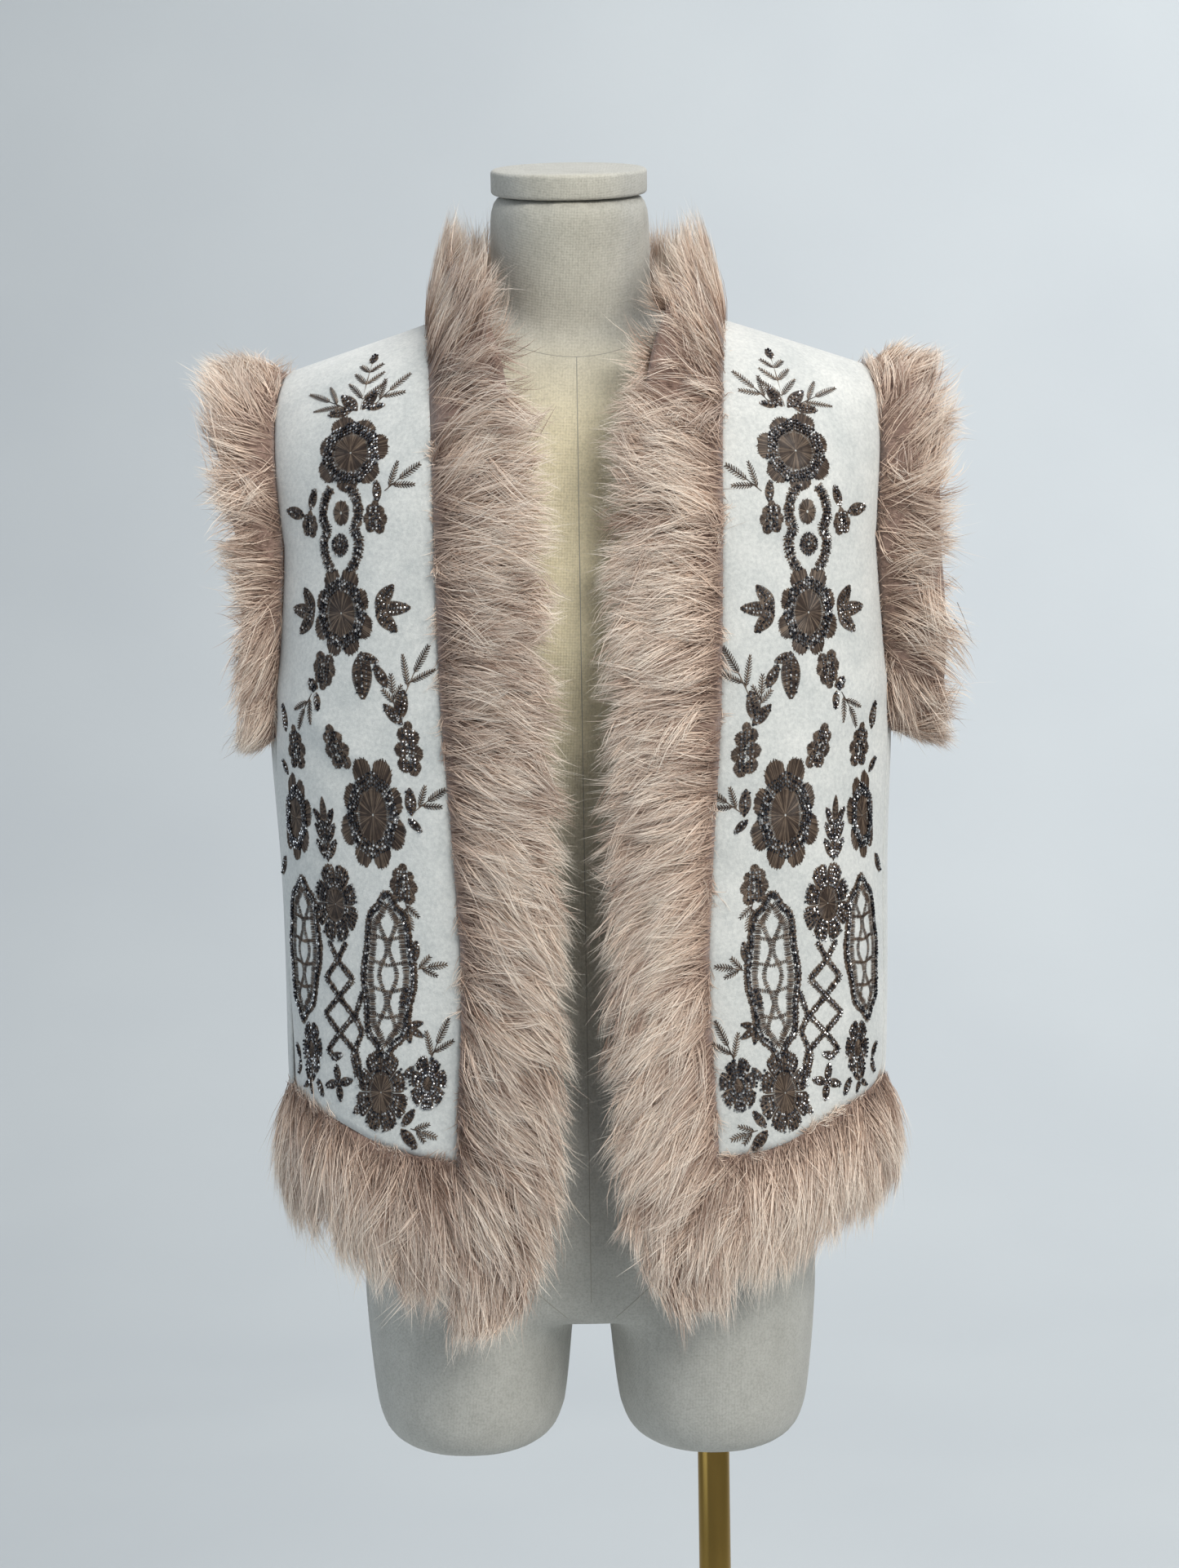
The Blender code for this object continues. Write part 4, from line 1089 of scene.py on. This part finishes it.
def neck_row(v):
    here = front_column(0, v)
    along = front_column(0, v + 1e-3) - here
    turn = np.interp(v, NECK_TURN_V, NECK_TURN)
    across, away = band_axes(along, BAND_LEAN + (COLLAR_LEAN - BAND_LEAN) * turn)
    width = np.interp(v, NECK_WIDTH_V, NECK_WIDTH)
    proud = BAND_PROUD + (COLLAR_PROUD - BAND_PROUD) * turn
    return here, across, away, width, proud, BAND_UNDER + (COLLAR_UNDER - BAND_UNDER) * turn


def nape_row(turn):
    angle = turn * math.pi / 2
    lift = math.sin(angle)
    height = NECK_Z + (NECK_BACK_Z - NECK_Z) * lift
    here = np.array([NECK_X * math.cos(angle), NECK_BACK_Y * lift, height])
    outward = unit(np.array([math.cos(angle) / NECK_X, math.sin(angle) / NECK_BACK_Y, 0.0]))
    across, away = leaning(outward, np.array([0.0, 0.0, 1.0]), COLLAR_LEAN)
    return here, across, away, COLLAR_HEIGHT, COLLAR_PROUD, COLLAR_UNDER + (NAPE_UNDER - COLLAR_UNDER) * lift


def collar_strip():
    """Round the neck, from the joint on the right-hand front to the joint on the left-hand one."""
    right = [neck_row(v) for v in np.linspace(COLLAR_JOINT, 0.97, 30)]
    right += [nape_row(turn) for turn in np.linspace(0.03, 1.0, 26)]
    left = [(r[0] * MIRROR, r[1] * MIRROR, r[2] * MIRROR, *r[3:]) for r in right[:-1]]
    return Strip(right + left[::-1], BAND_OVER, BAND_BELOW)


def hem_row(angle, hem, stretch):
    point = vest_ring(angle, hem - SEAM_GAP)
    across = unit(vest_ring(angle, hem - 0.04) - point)
    return point, across, vest_normal(angle, hem), HEM_LENGTH * stretch, HEM_PROUD, HEM_UNDER


def hem_front_strip(stretch):
    """One front's hem, from the band to the side seam."""
    rows = []
    for share in np.linspace(0.01, 0.995, 60):
        hem = float(smooth(share, HEM_SHARE, HEM_FRONT_Z))
        inner = float(seam_angle(hem))
        rows.append(hem_row(inner + (SIDE_ANGLE - inner) * share, hem, stretch))
    return Strip(rows, HEM_OVER, HEM_BELOW)


def hem_back_strip():
    """The back's hem, from the right-hand side seam to the left-hand one."""
    rows = []
    for place in np.linspace(-0.995, 0.995, 140):
        share = 1 - abs(place)
        hem = float(smooth(share, HEM_SHARE, HEM_BACK_Z))
        angle = SIDE_ANGLE + (math.pi - SIDE_ANGLE) * share
        point, across, away, *rest = hem_row(angle, hem, HEM_STRETCH["back"])
        turn = np.ones(3) if place < 0 else MIRROR
        rows.append((point * turn, across * turn, away * turn, *rest))
    return Strip(rows, HEM_OVER, HEM_BELOW)


def armhole_edge(stations=90):
    """The armhole's edge, from the side seam up the front, over the shoulder and down the back."""
    line = [vest_ring(armhole_front_angle(z), z) for z in np.linspace(UNDERARM_Z, CHEST_Z, 20)]
    line += [front_column(1, v) for v in np.linspace(0, 1, 30)[1:]]
    line += [back_column(1, v) for v in np.linspace(1, 0, 30)]
    for drop in np.linspace(0, 1, 30)[1:]:
        z = UNDERARM_Z + ARMHOLE_SCOOP * (1 - math.sin(drop * math.pi / 2))
        line.append(vest_ring(armhole_back_angle(z), z))
    line = np.array(line)
    line[:, 0] += SUEDE_WALL + SEAM_GAP
    lengths = lengths_along(line)
    return read_line(line, lengths, np.linspace(0, lengths[-1], stations, endpoint=False))


def armhole_strip(tip_x):
    """The fur round one armhole. tip_x is how far out its tips reach at the heights of ARMHOLE_Z."""
    edge = armhole_edge()
    centre = edge.mean(axis=0)
    rows = []
    for step, here in enumerate(edge):
        along = unit(edge[(step + 2) % len(edge)] - edge[step - 2])
        away = here - centre
        away[0] = 0
        away = unit(away - along * away.dot(along))
        low = np.interp(here[2], (UNDERARM_Z, UNDERARM_Z + 0.06), (0.0, 1.0))
        reach_out = np.array([1.0, 0.2 * away[1], -0.08 - 0.14 * low])
        across = unit(reach_out - along * reach_out.dot(along))
        away = unit(away - across * away.dot(across))
        reach = (np.interp(here[2], ARMHOLE_Z, tip_x) - here[0]) / across[0]
        outside = ARMHOLE_OUTSIDE + (ARMHOLE_OUTSIDE_TOP - ARMHOLE_OUTSIDE) * max(0.0, away[2])
        outside = ARMHOLE_OUTSIDE_UNDERARM + (outside - ARMHOLE_OUTSIDE_UNDERARM) * low
        rows.append((here, across, away, reach, outside, ARMHOLE_INSIDE))
    return Strip(rows, ARMHOLE_OVER, ARMHOLE_BELOW, closed=True)


def underfur(name, strip, node, material):
    """The strip's backing with its dense short underfur, a low closed roll at the foot of the long hair."""
    stations = max(24, int(strip.length / UNDERFUR_STATION))
    s = np.linspace(0, strip.length, stations, endpoint=not strip.closed)
    shares = np.concatenate([np.linspace(0.015, 0.97, 11), np.linspace(0.90, 0.04, 8)])
    sides = np.array([1] * 11 + [-1] * 8)
    section = []
    for portion, side in zip(shares, sides):
        tuck = UNDERFUR_TUCK * (portion < 0.05)
        across = strip.read(strip.width, s) * portion * UNDERFUR_REACH + SEAM_GAP - tuck
        away = strip.depth(s, np.full_like(s, portion * UNDERFUR_REACH), side)
        away = away * UNDERFUR_SHARE * (1 - portion**3) + side * UNDERFUR_LEAST
        wobble = 1 + 0.10 * np.sin(s * 310 + portion * 9) * np.sin(s * 97 + portion * 23)
        section.append(strip.place(s, across, away * wobble))
    grid = np.stack(section, axis=1)
    count = len(shares)
    faces = grid_faces(stations, count, wrap=True)
    points = grid.reshape(-1, 3)
    here = np.arange(count)
    ahead = (here + 1) % count
    last = (stations - 1) * count
    if strip.closed:
        ends = [np.stack([last + here, last + ahead, ahead, here], axis=-1)]
    else:
        near, far = np.full(count, len(points)), np.full(count, len(points) + 1)
        points = np.concatenate([points, grid[:1].mean(axis=1), grid[-1:].mean(axis=1)])
        ends = [np.stack([ahead, here, near], axis=-1), np.stack([last + here, last + ahead, far], axis=-1)]
    made = add_mesh(name, points, faces, *ends)
    turn_out(made)
    use(made, material)
    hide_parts(node)
    return made


def turn_out(made):
    """Turns a closed mesh's faces outward by the sign of its volume."""
    mesh = made.data
    mesh.calc_loop_triangles()
    points = np.empty(len(mesh.vertices) * 3, np.float32)
    mesh.vertices.foreach_get("co", points)
    corners = np.empty(len(mesh.loop_triangles) * 3, np.int32)
    mesh.loop_triangles.foreach_get("vertices", corners)
    a, b, c = points.reshape(-1, 3)[corners.reshape(-1, 3)].transpose(1, 0, 2)
    if (a * np.cross(b, c)).sum() < 0:
        mesh.flip_normals()


def hair_mesh(name, root, knee, tip, width, twist, shade, face, material):
    """Thin ribbons along quadratic curves, each a strip of five triangles that ends in a point."""
    t = HAIR_LEVELS[None, :, None]
    line = root[:, None] * (1 - t) ** 2 + knee[:, None] * 2 * t * (1 - t) + tip[:, None] * t**2
    ahead = unit(np.gradient(line, axis=1))
    flat = unit(np.cross(ahead, face[:, None]))
    lift = np.cross(flat, ahead)
    turn = twist[:, None, None]
    side = flat * np.cos(turn) + lift * np.sin(turn)
    half = 0.5 * width[:, None, None] * HAIR_WIDTHS[None, :, None]
    left = line[:, :3] - side[:, :3] * half
    right = line[:, :3] + side[:, :3] * half
    pairs = np.stack([left, right], axis=2).reshape(len(root), 6, 3)
    points = np.concatenate([pairs, line[:, 3:]], axis=1)
    faces = copies([[0, 1, 3], [0, 3, 2], [2, 3, 5], [2, 5, 4], [4, 5, 6]], len(root), 7)
    made = add_mesh(name, points.reshape(-1, 3), faces)
    column = np.floor(np.clip(shade, 0, 0.9999) * HAIR_SHADES)
    u = np.stack([(column + 0.15) / HAIR_SHADES, (column + 0.85) / HAIR_SHADES], axis=-1)
    u = np.concatenate([np.tile(u, 3), u.mean(axis=1, keepdims=True)], axis=1)
    v = np.repeat(HAIR_LEVELS[:3], 2)
    v = np.broadcast_to(np.concatenate([v, [1.0]]) * 0.98 + 0.01, u.shape)
    per_point = np.stack([u, v], axis=-1).reshape(-1, 2)
    layer = made.data.uv_layers.new(name="OFBake")
    layer.data.foreach_set("uv", per_point[faces.ravel()].astype(np.float32).ravel())
    use(made, material)
    return made


def waves(s, a, seed):
    """A slow repeatable wander, from -1 to 1, over a strip."""
    return 0.6 * np.sin(s * 47 + a * 90 + seed) + 0.4 * np.sin(s * 121 - a * 60 + seed * 2.1)


@dataclass
class Pile:
    """How a strip's long hair grows. Lengths are in metres, and shares are of the strip's width."""

    locks: int
    hairs: int
    length: float
    reach: float
    inner_share: float
    sag: tuple = ((0.0, 0.0),)
    wander: float = 0.20
    over_seam: float = 0.3
    lowest: float = 0.66
    open_tips: float = 1.0
    root_from: float = 0.0
    start_limits: tuple = (-0.014, -0.004)
    start_longer: float = 0.0


def lock_guides(random, strip, seed, flow, pile):
    """Each lock's root, knee and tip as (along, across, away) on the strip, and its side and root share."""
    count = int(pile.locks * (1.0))
    s0 = (np.arange(count) + random.random(count)) / count
    s0 = pile.root_from + s0 * (strip.length - pile.root_from)
    share0 = random.random(count) ** 1.3 * pile.reach
    side = np.where(random.random(count) < pile.inner_share, -1.0, 1.0)
    width = strip.read(strip.width, s0)
    angle = flow(s0, share0) + pile.wander * waves(s0, share0 * width, seed)
    angle = angle + random.normal(0, 0.20 + 0.35 * pile.wander, count)
    extra = pile.start_longer * np.exp(-s0 / 0.028)
    long = pile.length * random.uniform(0.72, 1.22, count) * (1 + extra)
    most = random.uniform(0.86, 1.05, count) + extra
    share1 = share0 + long * np.cos(angle) / width
    share1 = np.minimum(share1, most) + 0.2 * np.maximum(share1 - most, 0)
    s1 = s0 - long * np.sin(angle)
    edge = (share0 < 0.06) & (random.random(count) < pile.over_seam)
    share1 = np.where(edge, share0 - random.uniform(0.02, 0.09, count), share1)
    s1 = np.where(edge, s0 + (s1 - s0) * 0.3, s1)
    if not strip.closed:
        least = random.uniform(*pile.start_limits, count)
        kept = np.where(s1 < least, (s0 - least) / np.maximum(s0 - s1, 1e-6), 1.0)
        kept = np.clip(kept, 0.35, 1.0)
        share1 = share0 + (share1 - share0) * kept
        s1 = np.minimum(s0 + (s1 - s0) * kept, strip.length + PAST_END)

    def lifted(s, share, amount):
        share = np.clip(share, 0, 1)
        return np.where(side > 0, strip.depth(s, share, 1), strip.depth(s, share, -1)) * amount

    root = np.stack([s0, share0 * width, lifted(s0, share0, 0.35)], axis=-1)
    tip_width = 0.75 * strip.read(strip.width, s1) + 0.25 * width
    height = random.uniform(pile.lowest, 1.05, count)
    tip = np.stack([s1, share1 * tip_width, lifted(s1, share1 * pile.open_tips, height)], axis=-1)
    knee = root + (tip - root) * 0.42
    bend = random.normal(0, 0.11, count) * long
    knee[:, 0] += bend * np.cos(angle)
    knee[:, 1] += bend * np.sin(angle)
    knee[:, 2] = lifted(knee[:, 0], knee[:, 1] / width, height)
    return root, knee, tip, side, share0


def scattered(random, root, knee, tip, m):
    """m hairs about each lock, as roots, knees and tips on the strip, and which of them are pale wisps."""
    count = len(root)
    flat = LOCK_SPREAD
    root_spread = np.array([flat, flat, LOOSE_SPREAD["root"]])
    knee_spread = np.array([flat * 0.8, flat * 0.8, LOOSE_SPREAD["knee"]])
    loose_spread = np.array([flat, flat, LOOSE_SPREAD["loose knee"]])
    tip_spread = np.array([flat, flat, LOOSE_SPREAD["tip"]])
    jitter = random.normal(0, 1, (count, m, 3))
    wisp = random.random((count, m, 1)) < WISP_SHARE
    stray = 1.0 + 1.8 * (random.random((count, m, 1)) < 0.28)
    roots = root[:, None] + jitter * root_spread
    roots[..., 1] = np.abs(roots[..., 1]) - SUEDE_WALL * 0.6
    knees = knee[:, None] + jitter * knee_spread
    knees = knees + random.normal(0, 0.30, (count, m, 3)) * loose_spread
    loose = jitter * 0.33 + random.normal(0, 0.28, (count, m, 3))
    tips = tip[:, None] + loose * tip_spread * stray
    long_wisp = random.uniform(0.95, 1.12, (count, m, 1))
    short = np.where(wisp, long_wisp, random.uniform(0.62, 1.02, (count, m, 1)))
    tips = roots + (tips - roots) * short
    tips[..., 2] *= np.where(wisp[..., 0], random.uniform(0.95, 1.32, (count, m)), 1.0)
    knees = roots + (knees - roots) * (0.5 + 0.5 * short)
    return [x.reshape(-1, 3) for x in (roots, knees, tips)], wisp.ravel()


def grow(name, strip, material, seed, flow, pile):
    """Long hair in locks. flow gives the angle from straight across towards the strip's start."""
    random = np.random.default_rng(seed)
    root, knee, tip, side, share0 = lock_guides(random, strip, seed, flow, pile)
    count, m = len(root), pile.hairs
    hairs, wisp = scattered(random, root, knee, tip, m)
    placed = [strip.place(x[:, 0], x[:, 1], x[:, 2]) for x in hairs]
    outward = strip.read(strip.away, hairs[0][:, 0]) * np.repeat(side, m)[:, None]
    face = unit(outward + random.normal(0, 0.25, (count * m, 3)))
    drop = np.interp(placed[0][:, 2], *zip(*pile.sag))[:, None] * np.array([0.0, 0.0, -1.0])
    placed[1] = placed[1] + drop * 0.3
    placed[2] = placed[2] + drop * random.uniform(0.5, 1.5, (count * m, 1))
    thick = random.uniform(*HAIR_THICKNESS, count * m)
    lock_shade = 0.57 + 0.22 * waves(root[:, 0] * 0.5, share0 * 0.03, seed + 3)
    lock_shade = np.repeat(lock_shade + random.normal(0, 0.29, count), m)
    shade = lock_shade + random.normal(0, 0.26, count * m) + 0.34 * wisp
    twist = random.normal(0, 0.6, count * m)
    return hair_mesh(name, *placed, thick, twist, shade, face, material)


def band_flow(strip):
    """Across at the chest, turning down towards the hem and fanning out at the end."""
    heights = strip.point[:, 2]

    def flow(s, share):
        z = np.interp(s, strip.places, heights)
        down = np.interp(z, BAND_FLOW_Z, BAND_FLOW_ANGLE)
        return down + np.interp(z, BAND_FAN_Z, BAND_FAN) * (share - BAND_FAN_MIDDLE)

    return flow


def armhole_flow(strip):
    """Up and out at the shoulder, down and out towards the underarm, on the front and on the back."""
    climbs = np.gradient(strip.point[:, 2], strip.places)

    def flow(s, share):
        z = np.interp(s, strip.places, strip.point[:, 2])
        rise = np.interp(z, ARMHOLE_FLOW_Z, ARMHOLE_FLOW_RISE)
        return -rise * np.clip(np.interp(s, strip.places, climbs) * 2.0, -1, 1)

    return flow


def collar_flow(strip):
    """Straight up, and forward over both joints with the bands."""

    def flow(s, share):
        return np.interp(s, (0.0, 0.05, strip.length - 0.05, strip.length), (0.55, 0.0, 0.0, -0.55))

    return flow


def hem_flow(s, share):
    """Straight down, and towards the band close to it."""
    return np.interp(s, (0.0, 0.05), (0.30, 0.0))


def straight_flow(s, share):
    return 0.0 * s


BAND_PILE = Pile(
    locks=930, hairs=28, length=0.042, reach=0.78, inner_share=0.10,
    sag=((0.80, 0.0), (0.95, 0.003)), root_from=0.019, start_limits=(-0.022, 0.004),
)
HEM_PILE = Pile(locks=320, hairs=28, length=0.062, reach=0.58, inner_share=0.08, start_longer=0.36)
BACK_HEM_PILE = Pile(locks=440, hairs=24, length=0.056, reach=0.56, inner_share=0.08)
ARMHOLE_PILE = Pile(
    locks=560, hairs=24, length=0.036, reach=0.66, inner_share=0.32,
    sag=((1.13, 0.007), (1.28, 0.002), (1.39, -0.011)),
    wander=0.55, over_seam=0.6, lowest=0.12, open_tips=0.70,
)
COLLAR_PILE = Pile(
    locks=600, hairs=26, length=0.040, reach=0.70, inner_share=0.46, sag=((1.38, -0.002), (1.46, -0.011))
)


def fur_strip(name, strip, seed, flow, pile):
    base = underfur(name + "_backing", strip, name, painted_shade_underfur_look(name + " underfur"))
    hair = grow(name + "_hair", strip, fur_look(name + " hair"), seed, flow, pile)


def make_fur():
    for side, hand in SIDES:
        band = band_strip(BAND_DROP[hand]).on_side(side)
        fur_strip(f"fur_band_{hand}", band, 11 + side, band_flow(band), BAND_PILE)
        hem = hem_front_strip(HEM_STRETCH[hand]).on_side(side)
        fur_strip(f"fur_hem_{hand}", hem, 21 + side, hem_flow, HEM_PILE)
        armhole = armhole_strip(ARMHOLE_TIP_X[hand]).on_side(side)
        flow = armhole_flow(armhole)
        fur_strip(f"fur_armhole_{hand}", armhole, 31 + side, flow, ARMHOLE_PILE)
    fur_strip("fur_hem_back", hem_back_strip(), 41, straight_flow, BACK_HEM_PILE)
    collar = collar_strip()
    fur_strip("fur_collar", collar, 51, collar_flow(collar), COLLAR_PILE)


def make_suede():
    front = front_panel_grid()
    for side, hand in SIDES:
        grid = front if side > 0 else front * MIRROR
        made = suede_panel(
            f"front_panel_{hand}_suede", grid, side < 0, crease(grid, side),
            suede_look(f"suede front {hand}"),
        )
        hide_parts(f"front_panel_{hand}")
    grid = back_panel_grid()
    drape = DRAPE_HEIGHT * np.sin(grid[..., 2] * 19 + grid[..., 0] * 12)
    look = suede_look("suede back")
    made = suede_panel("back_panel_suede", grid, True, drape, look)
    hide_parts("back_panel")


# The dress form and its stand


def smooth_form():
    """The form as one smooth skin over its CAD solid."""
    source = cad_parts["form_body"]
    made = add_object("form_body_linen", source.data.copy())
    remesh = made.modifiers.new("Skin", "REMESH")
    remesh.mode = "VOXEL"
    remesh.voxel_size = FORM_VOXEL
    remesh.use_smooth_shade = True
    soften = made.modifiers.new("Soften", "SMOOTH")
    soften.factor = 0.5
    soften.iterations = 8
    graph = bpy.context.evaluated_depsgraph_get()
    final = bpy.data.meshes.new_from_object(made.evaluated_get(graph))
    made.modifiers.clear()
    made.data = final
    final.polygons.foreach_set("use_smooth", np.ones(len(final.polygons), bool))
    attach(made, "root")
    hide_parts("form_body")
    use(made, linen_look("form linen"))
    return made


def form_seam(name, tree, places, material, radius=0.0003):
    """A thin stitched seam on the front of the form, found by looking straight at each place (x, z)."""
    inward = Vector((0.0, 1.0, 0.0))
    spots = np.array([tree.ray_cast(Vector((x, -0.6, z)), inward)[0] for x, z in places])
    ahead = unit(np.gradient(spots, axis=0))
    out = np.array([0.0, -1.0, 0.0])
    across = unit(np.cross(ahead, out))
    turns = np.arange(6) * math.pi / 3
    rings = [spots + (across * math.cos(a) + out * math.sin(a) * 0.7) * radius for a in turns]
    grid = np.stack(rings, axis=1)
    made = add_mesh(name, grid.reshape(-1, 3), grid_faces(len(spots), 6, wrap=True))
    turn_out(made)
    use(made, material)


def form_seams(body):
    tree = BVHTree.FromObject(body, bpy.context.evaluated_depsgraph_get())
    look = Look("seam thread", roughness=0.8)
    look.colour((0.36, 0.34, 0.29))
    front = [(SEAM_X, z) for z in np.linspace(SEAM_FOOT_Z, NECKLINE_Z, 160)]
    places = np.linspace(-NECKLINE_HALF, NECKLINE_HALF, 50)
    neckline = [(x, NECKLINE_Z + NECKLINE_CURVE * x * x) for x in places]
    form_seam("form_seam_front", tree, front, look.material)
    form_seam("form_seam_neckline", tree, neckline, look.material)
    for side, hand in SIDES:
        places = np.linspace(*GROIN_X, 30)
        groin = [(side * x + SEAM_X, GROIN_Z + (x - GROIN_X[0]) * GROIN_SLOPE) for x in places]
        form_seam(f"form_seam_groin_{hand}", tree, groin, look.material)


def turned(name, profile, steps, node, material):
    """A closed profile of (radius, height) turned round its own axis."""
    radii, heights = np.array(profile).T[:, :, None]
    angles = np.linspace(0, 2 * math.pi, steps, endpoint=False)
    points = np.stack([radii * np.cos(angles), radii * np.sin(angles), heights + 0 * angles], axis=-1)
    faces = grid_faces(len(profile), steps, wrap=True)
    made = add_mesh(name, points.reshape(-1, 3), faces)
    merge = made.modifiers.new("Weld", "WELD")
    merge.merge_threshold = 0.00001
    use(made, material)
    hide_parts(node)
    return made


def rounded(radius, low, high, edge, steps=7):
    """The side of a disc with both edges rounded."""
    turn = np.linspace(0, math.pi / 2, steps)
    lower = [(radius - edge + edge * math.sin(a), low + edge - edge * math.cos(a)) for a in turn]
    upper = [(radius - edge + edge * math.cos(a), high - edge + edge * math.sin(a)) for a in turn]
    return [(0.0, low)] + lower + upper + [(0.0, high)]


def make_form():
    form_seams(smooth_form())
    profile = rounded(CAP_RADIUS, 0.0, CAP_HEIGHT, CAP_EDGE)
    cap = turned("neck_cap_linen", profile, 96, "neck_cap", linen_look("cap linen"))
    neck_top = Matrix.Translation((NECK_SHIFT, NECK_TOP_Y, NECK_TOP_Z))
    cap.data.transform(neck_top @ Matrix.Rotation(CAP_TILT, 4, "X") @ Matrix.Translation((0, 0, CAP_LIFT)))
    profile = rounded(POLE_RADIUS, POLE_FOOT_Z, POLE_TOP_Z, POLE_EDGE, 3)
    pole = turned("pole_brass", profile, 64, "pole", brass_look())
    pole.data.transform(Matrix.Translation((POLE_X, 0, 0)))
    use(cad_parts["base_plate"], paint_look())


# Studio


def make_studio():
    """A floor that bends up into a wall far behind."""
    foot = WALL_Y - WALL_BEND
    bend = [(math.sin(a), 1 - math.cos(a)) for a in np.linspace(0.1, math.pi / 2, 24)]
    profile = [(-STUDIO_SIZE, 0.0), (foot, 0.0)]
    profile += [(foot + WALL_BEND * y, WALL_BEND * z) for y, z in bend]
    profile.append((WALL_Y, WALL_HEIGHT))
    points = [(x, y, z) for y, z in profile for x in (-STUDIO_SIZE, STUDIO_SIZE)]
    faces = [(2 * i, 2 * i + 1, 2 * i + 3, 2 * i + 2) for i in range(len(profile) - 1)]
    mesh = bpy.data.meshes.new("studio_floor")
    mesh.from_pydata(points, [], faces)
    mesh.polygons.foreach_set("use_smooth", np.ones(len(faces), bool))
    floor = add_object("studio_floor", mesh)
    look = Look("studio", roughness=0.95)
    look.colour(look.ramp(look.noise(1.6, 2), [(0.3, (0.585, 0.615, 0.63)), (0.7, (0.615, 0.645, 0.655))]))
    look.bump(look.noise(60, 4, 0.6), 0.0006, 0.3)
    mesh.materials.append(look.material)


def area_light(name, place, target, size, power, colour):
    data = bpy.data.lights.new(name, "AREA")
    data.shape = "RECTANGLE"
    data.size, data.size_y = size
    data.energy = power
    data.color = colour
    light = add_object(name, data)
    light.location = place
    light.rotation_euler = (Vector(target) - Vector(place)).to_track_quat("-Z", "Y").to_euler()


def make_lights():
    for row in LIGHTS:
        area_light(*row)
    world = bpy.data.worlds.new("studio")
    world.use_nodes = True
    sky = world.node_tree.nodes["Background"]
    sky.inputs["Color"].default_value = SKY_COLOUR
    sky.inputs["Strength"].default_value = SKY_STRENGTH
    scene = bpy.context.scene
    scene.world = world
    scene.view_settings.view_transform = "Standard"
    scene.view_settings.exposure = 0.0


def make_camera():
    data = bpy.data.cameras.new("camera")
    data.sensor_fit = "AUTO"
    data.sensor_width = SENSOR_WIDTH
    data.lens = SENSOR_WIDTH * CAMERA_DISTANCE / (IMAGE_SIZE[1] * METRES_PER_PIXEL)
    camera = add_object("camera", data)
    pitch = math.atan((CAMERA_HEIGHT - CENTRE_HEIGHT) / CAMERA_DISTANCE)
    aim = Matrix.Rotation(math.radians(90) - pitch, 4, "X") @ Matrix.Rotation(-CAMERA_ROLL, 4, "Z")
    camera.matrix_world = Matrix.Translation((CAMERA_X, -CAMERA_DISTANCE, CAMERA_HEIGHT)) @ aim
    bpy.context.scene.camera = camera


make_studio()
make_lights()
make_camera()
make_form()
make_suede()
make_embroidery()
make_fur()
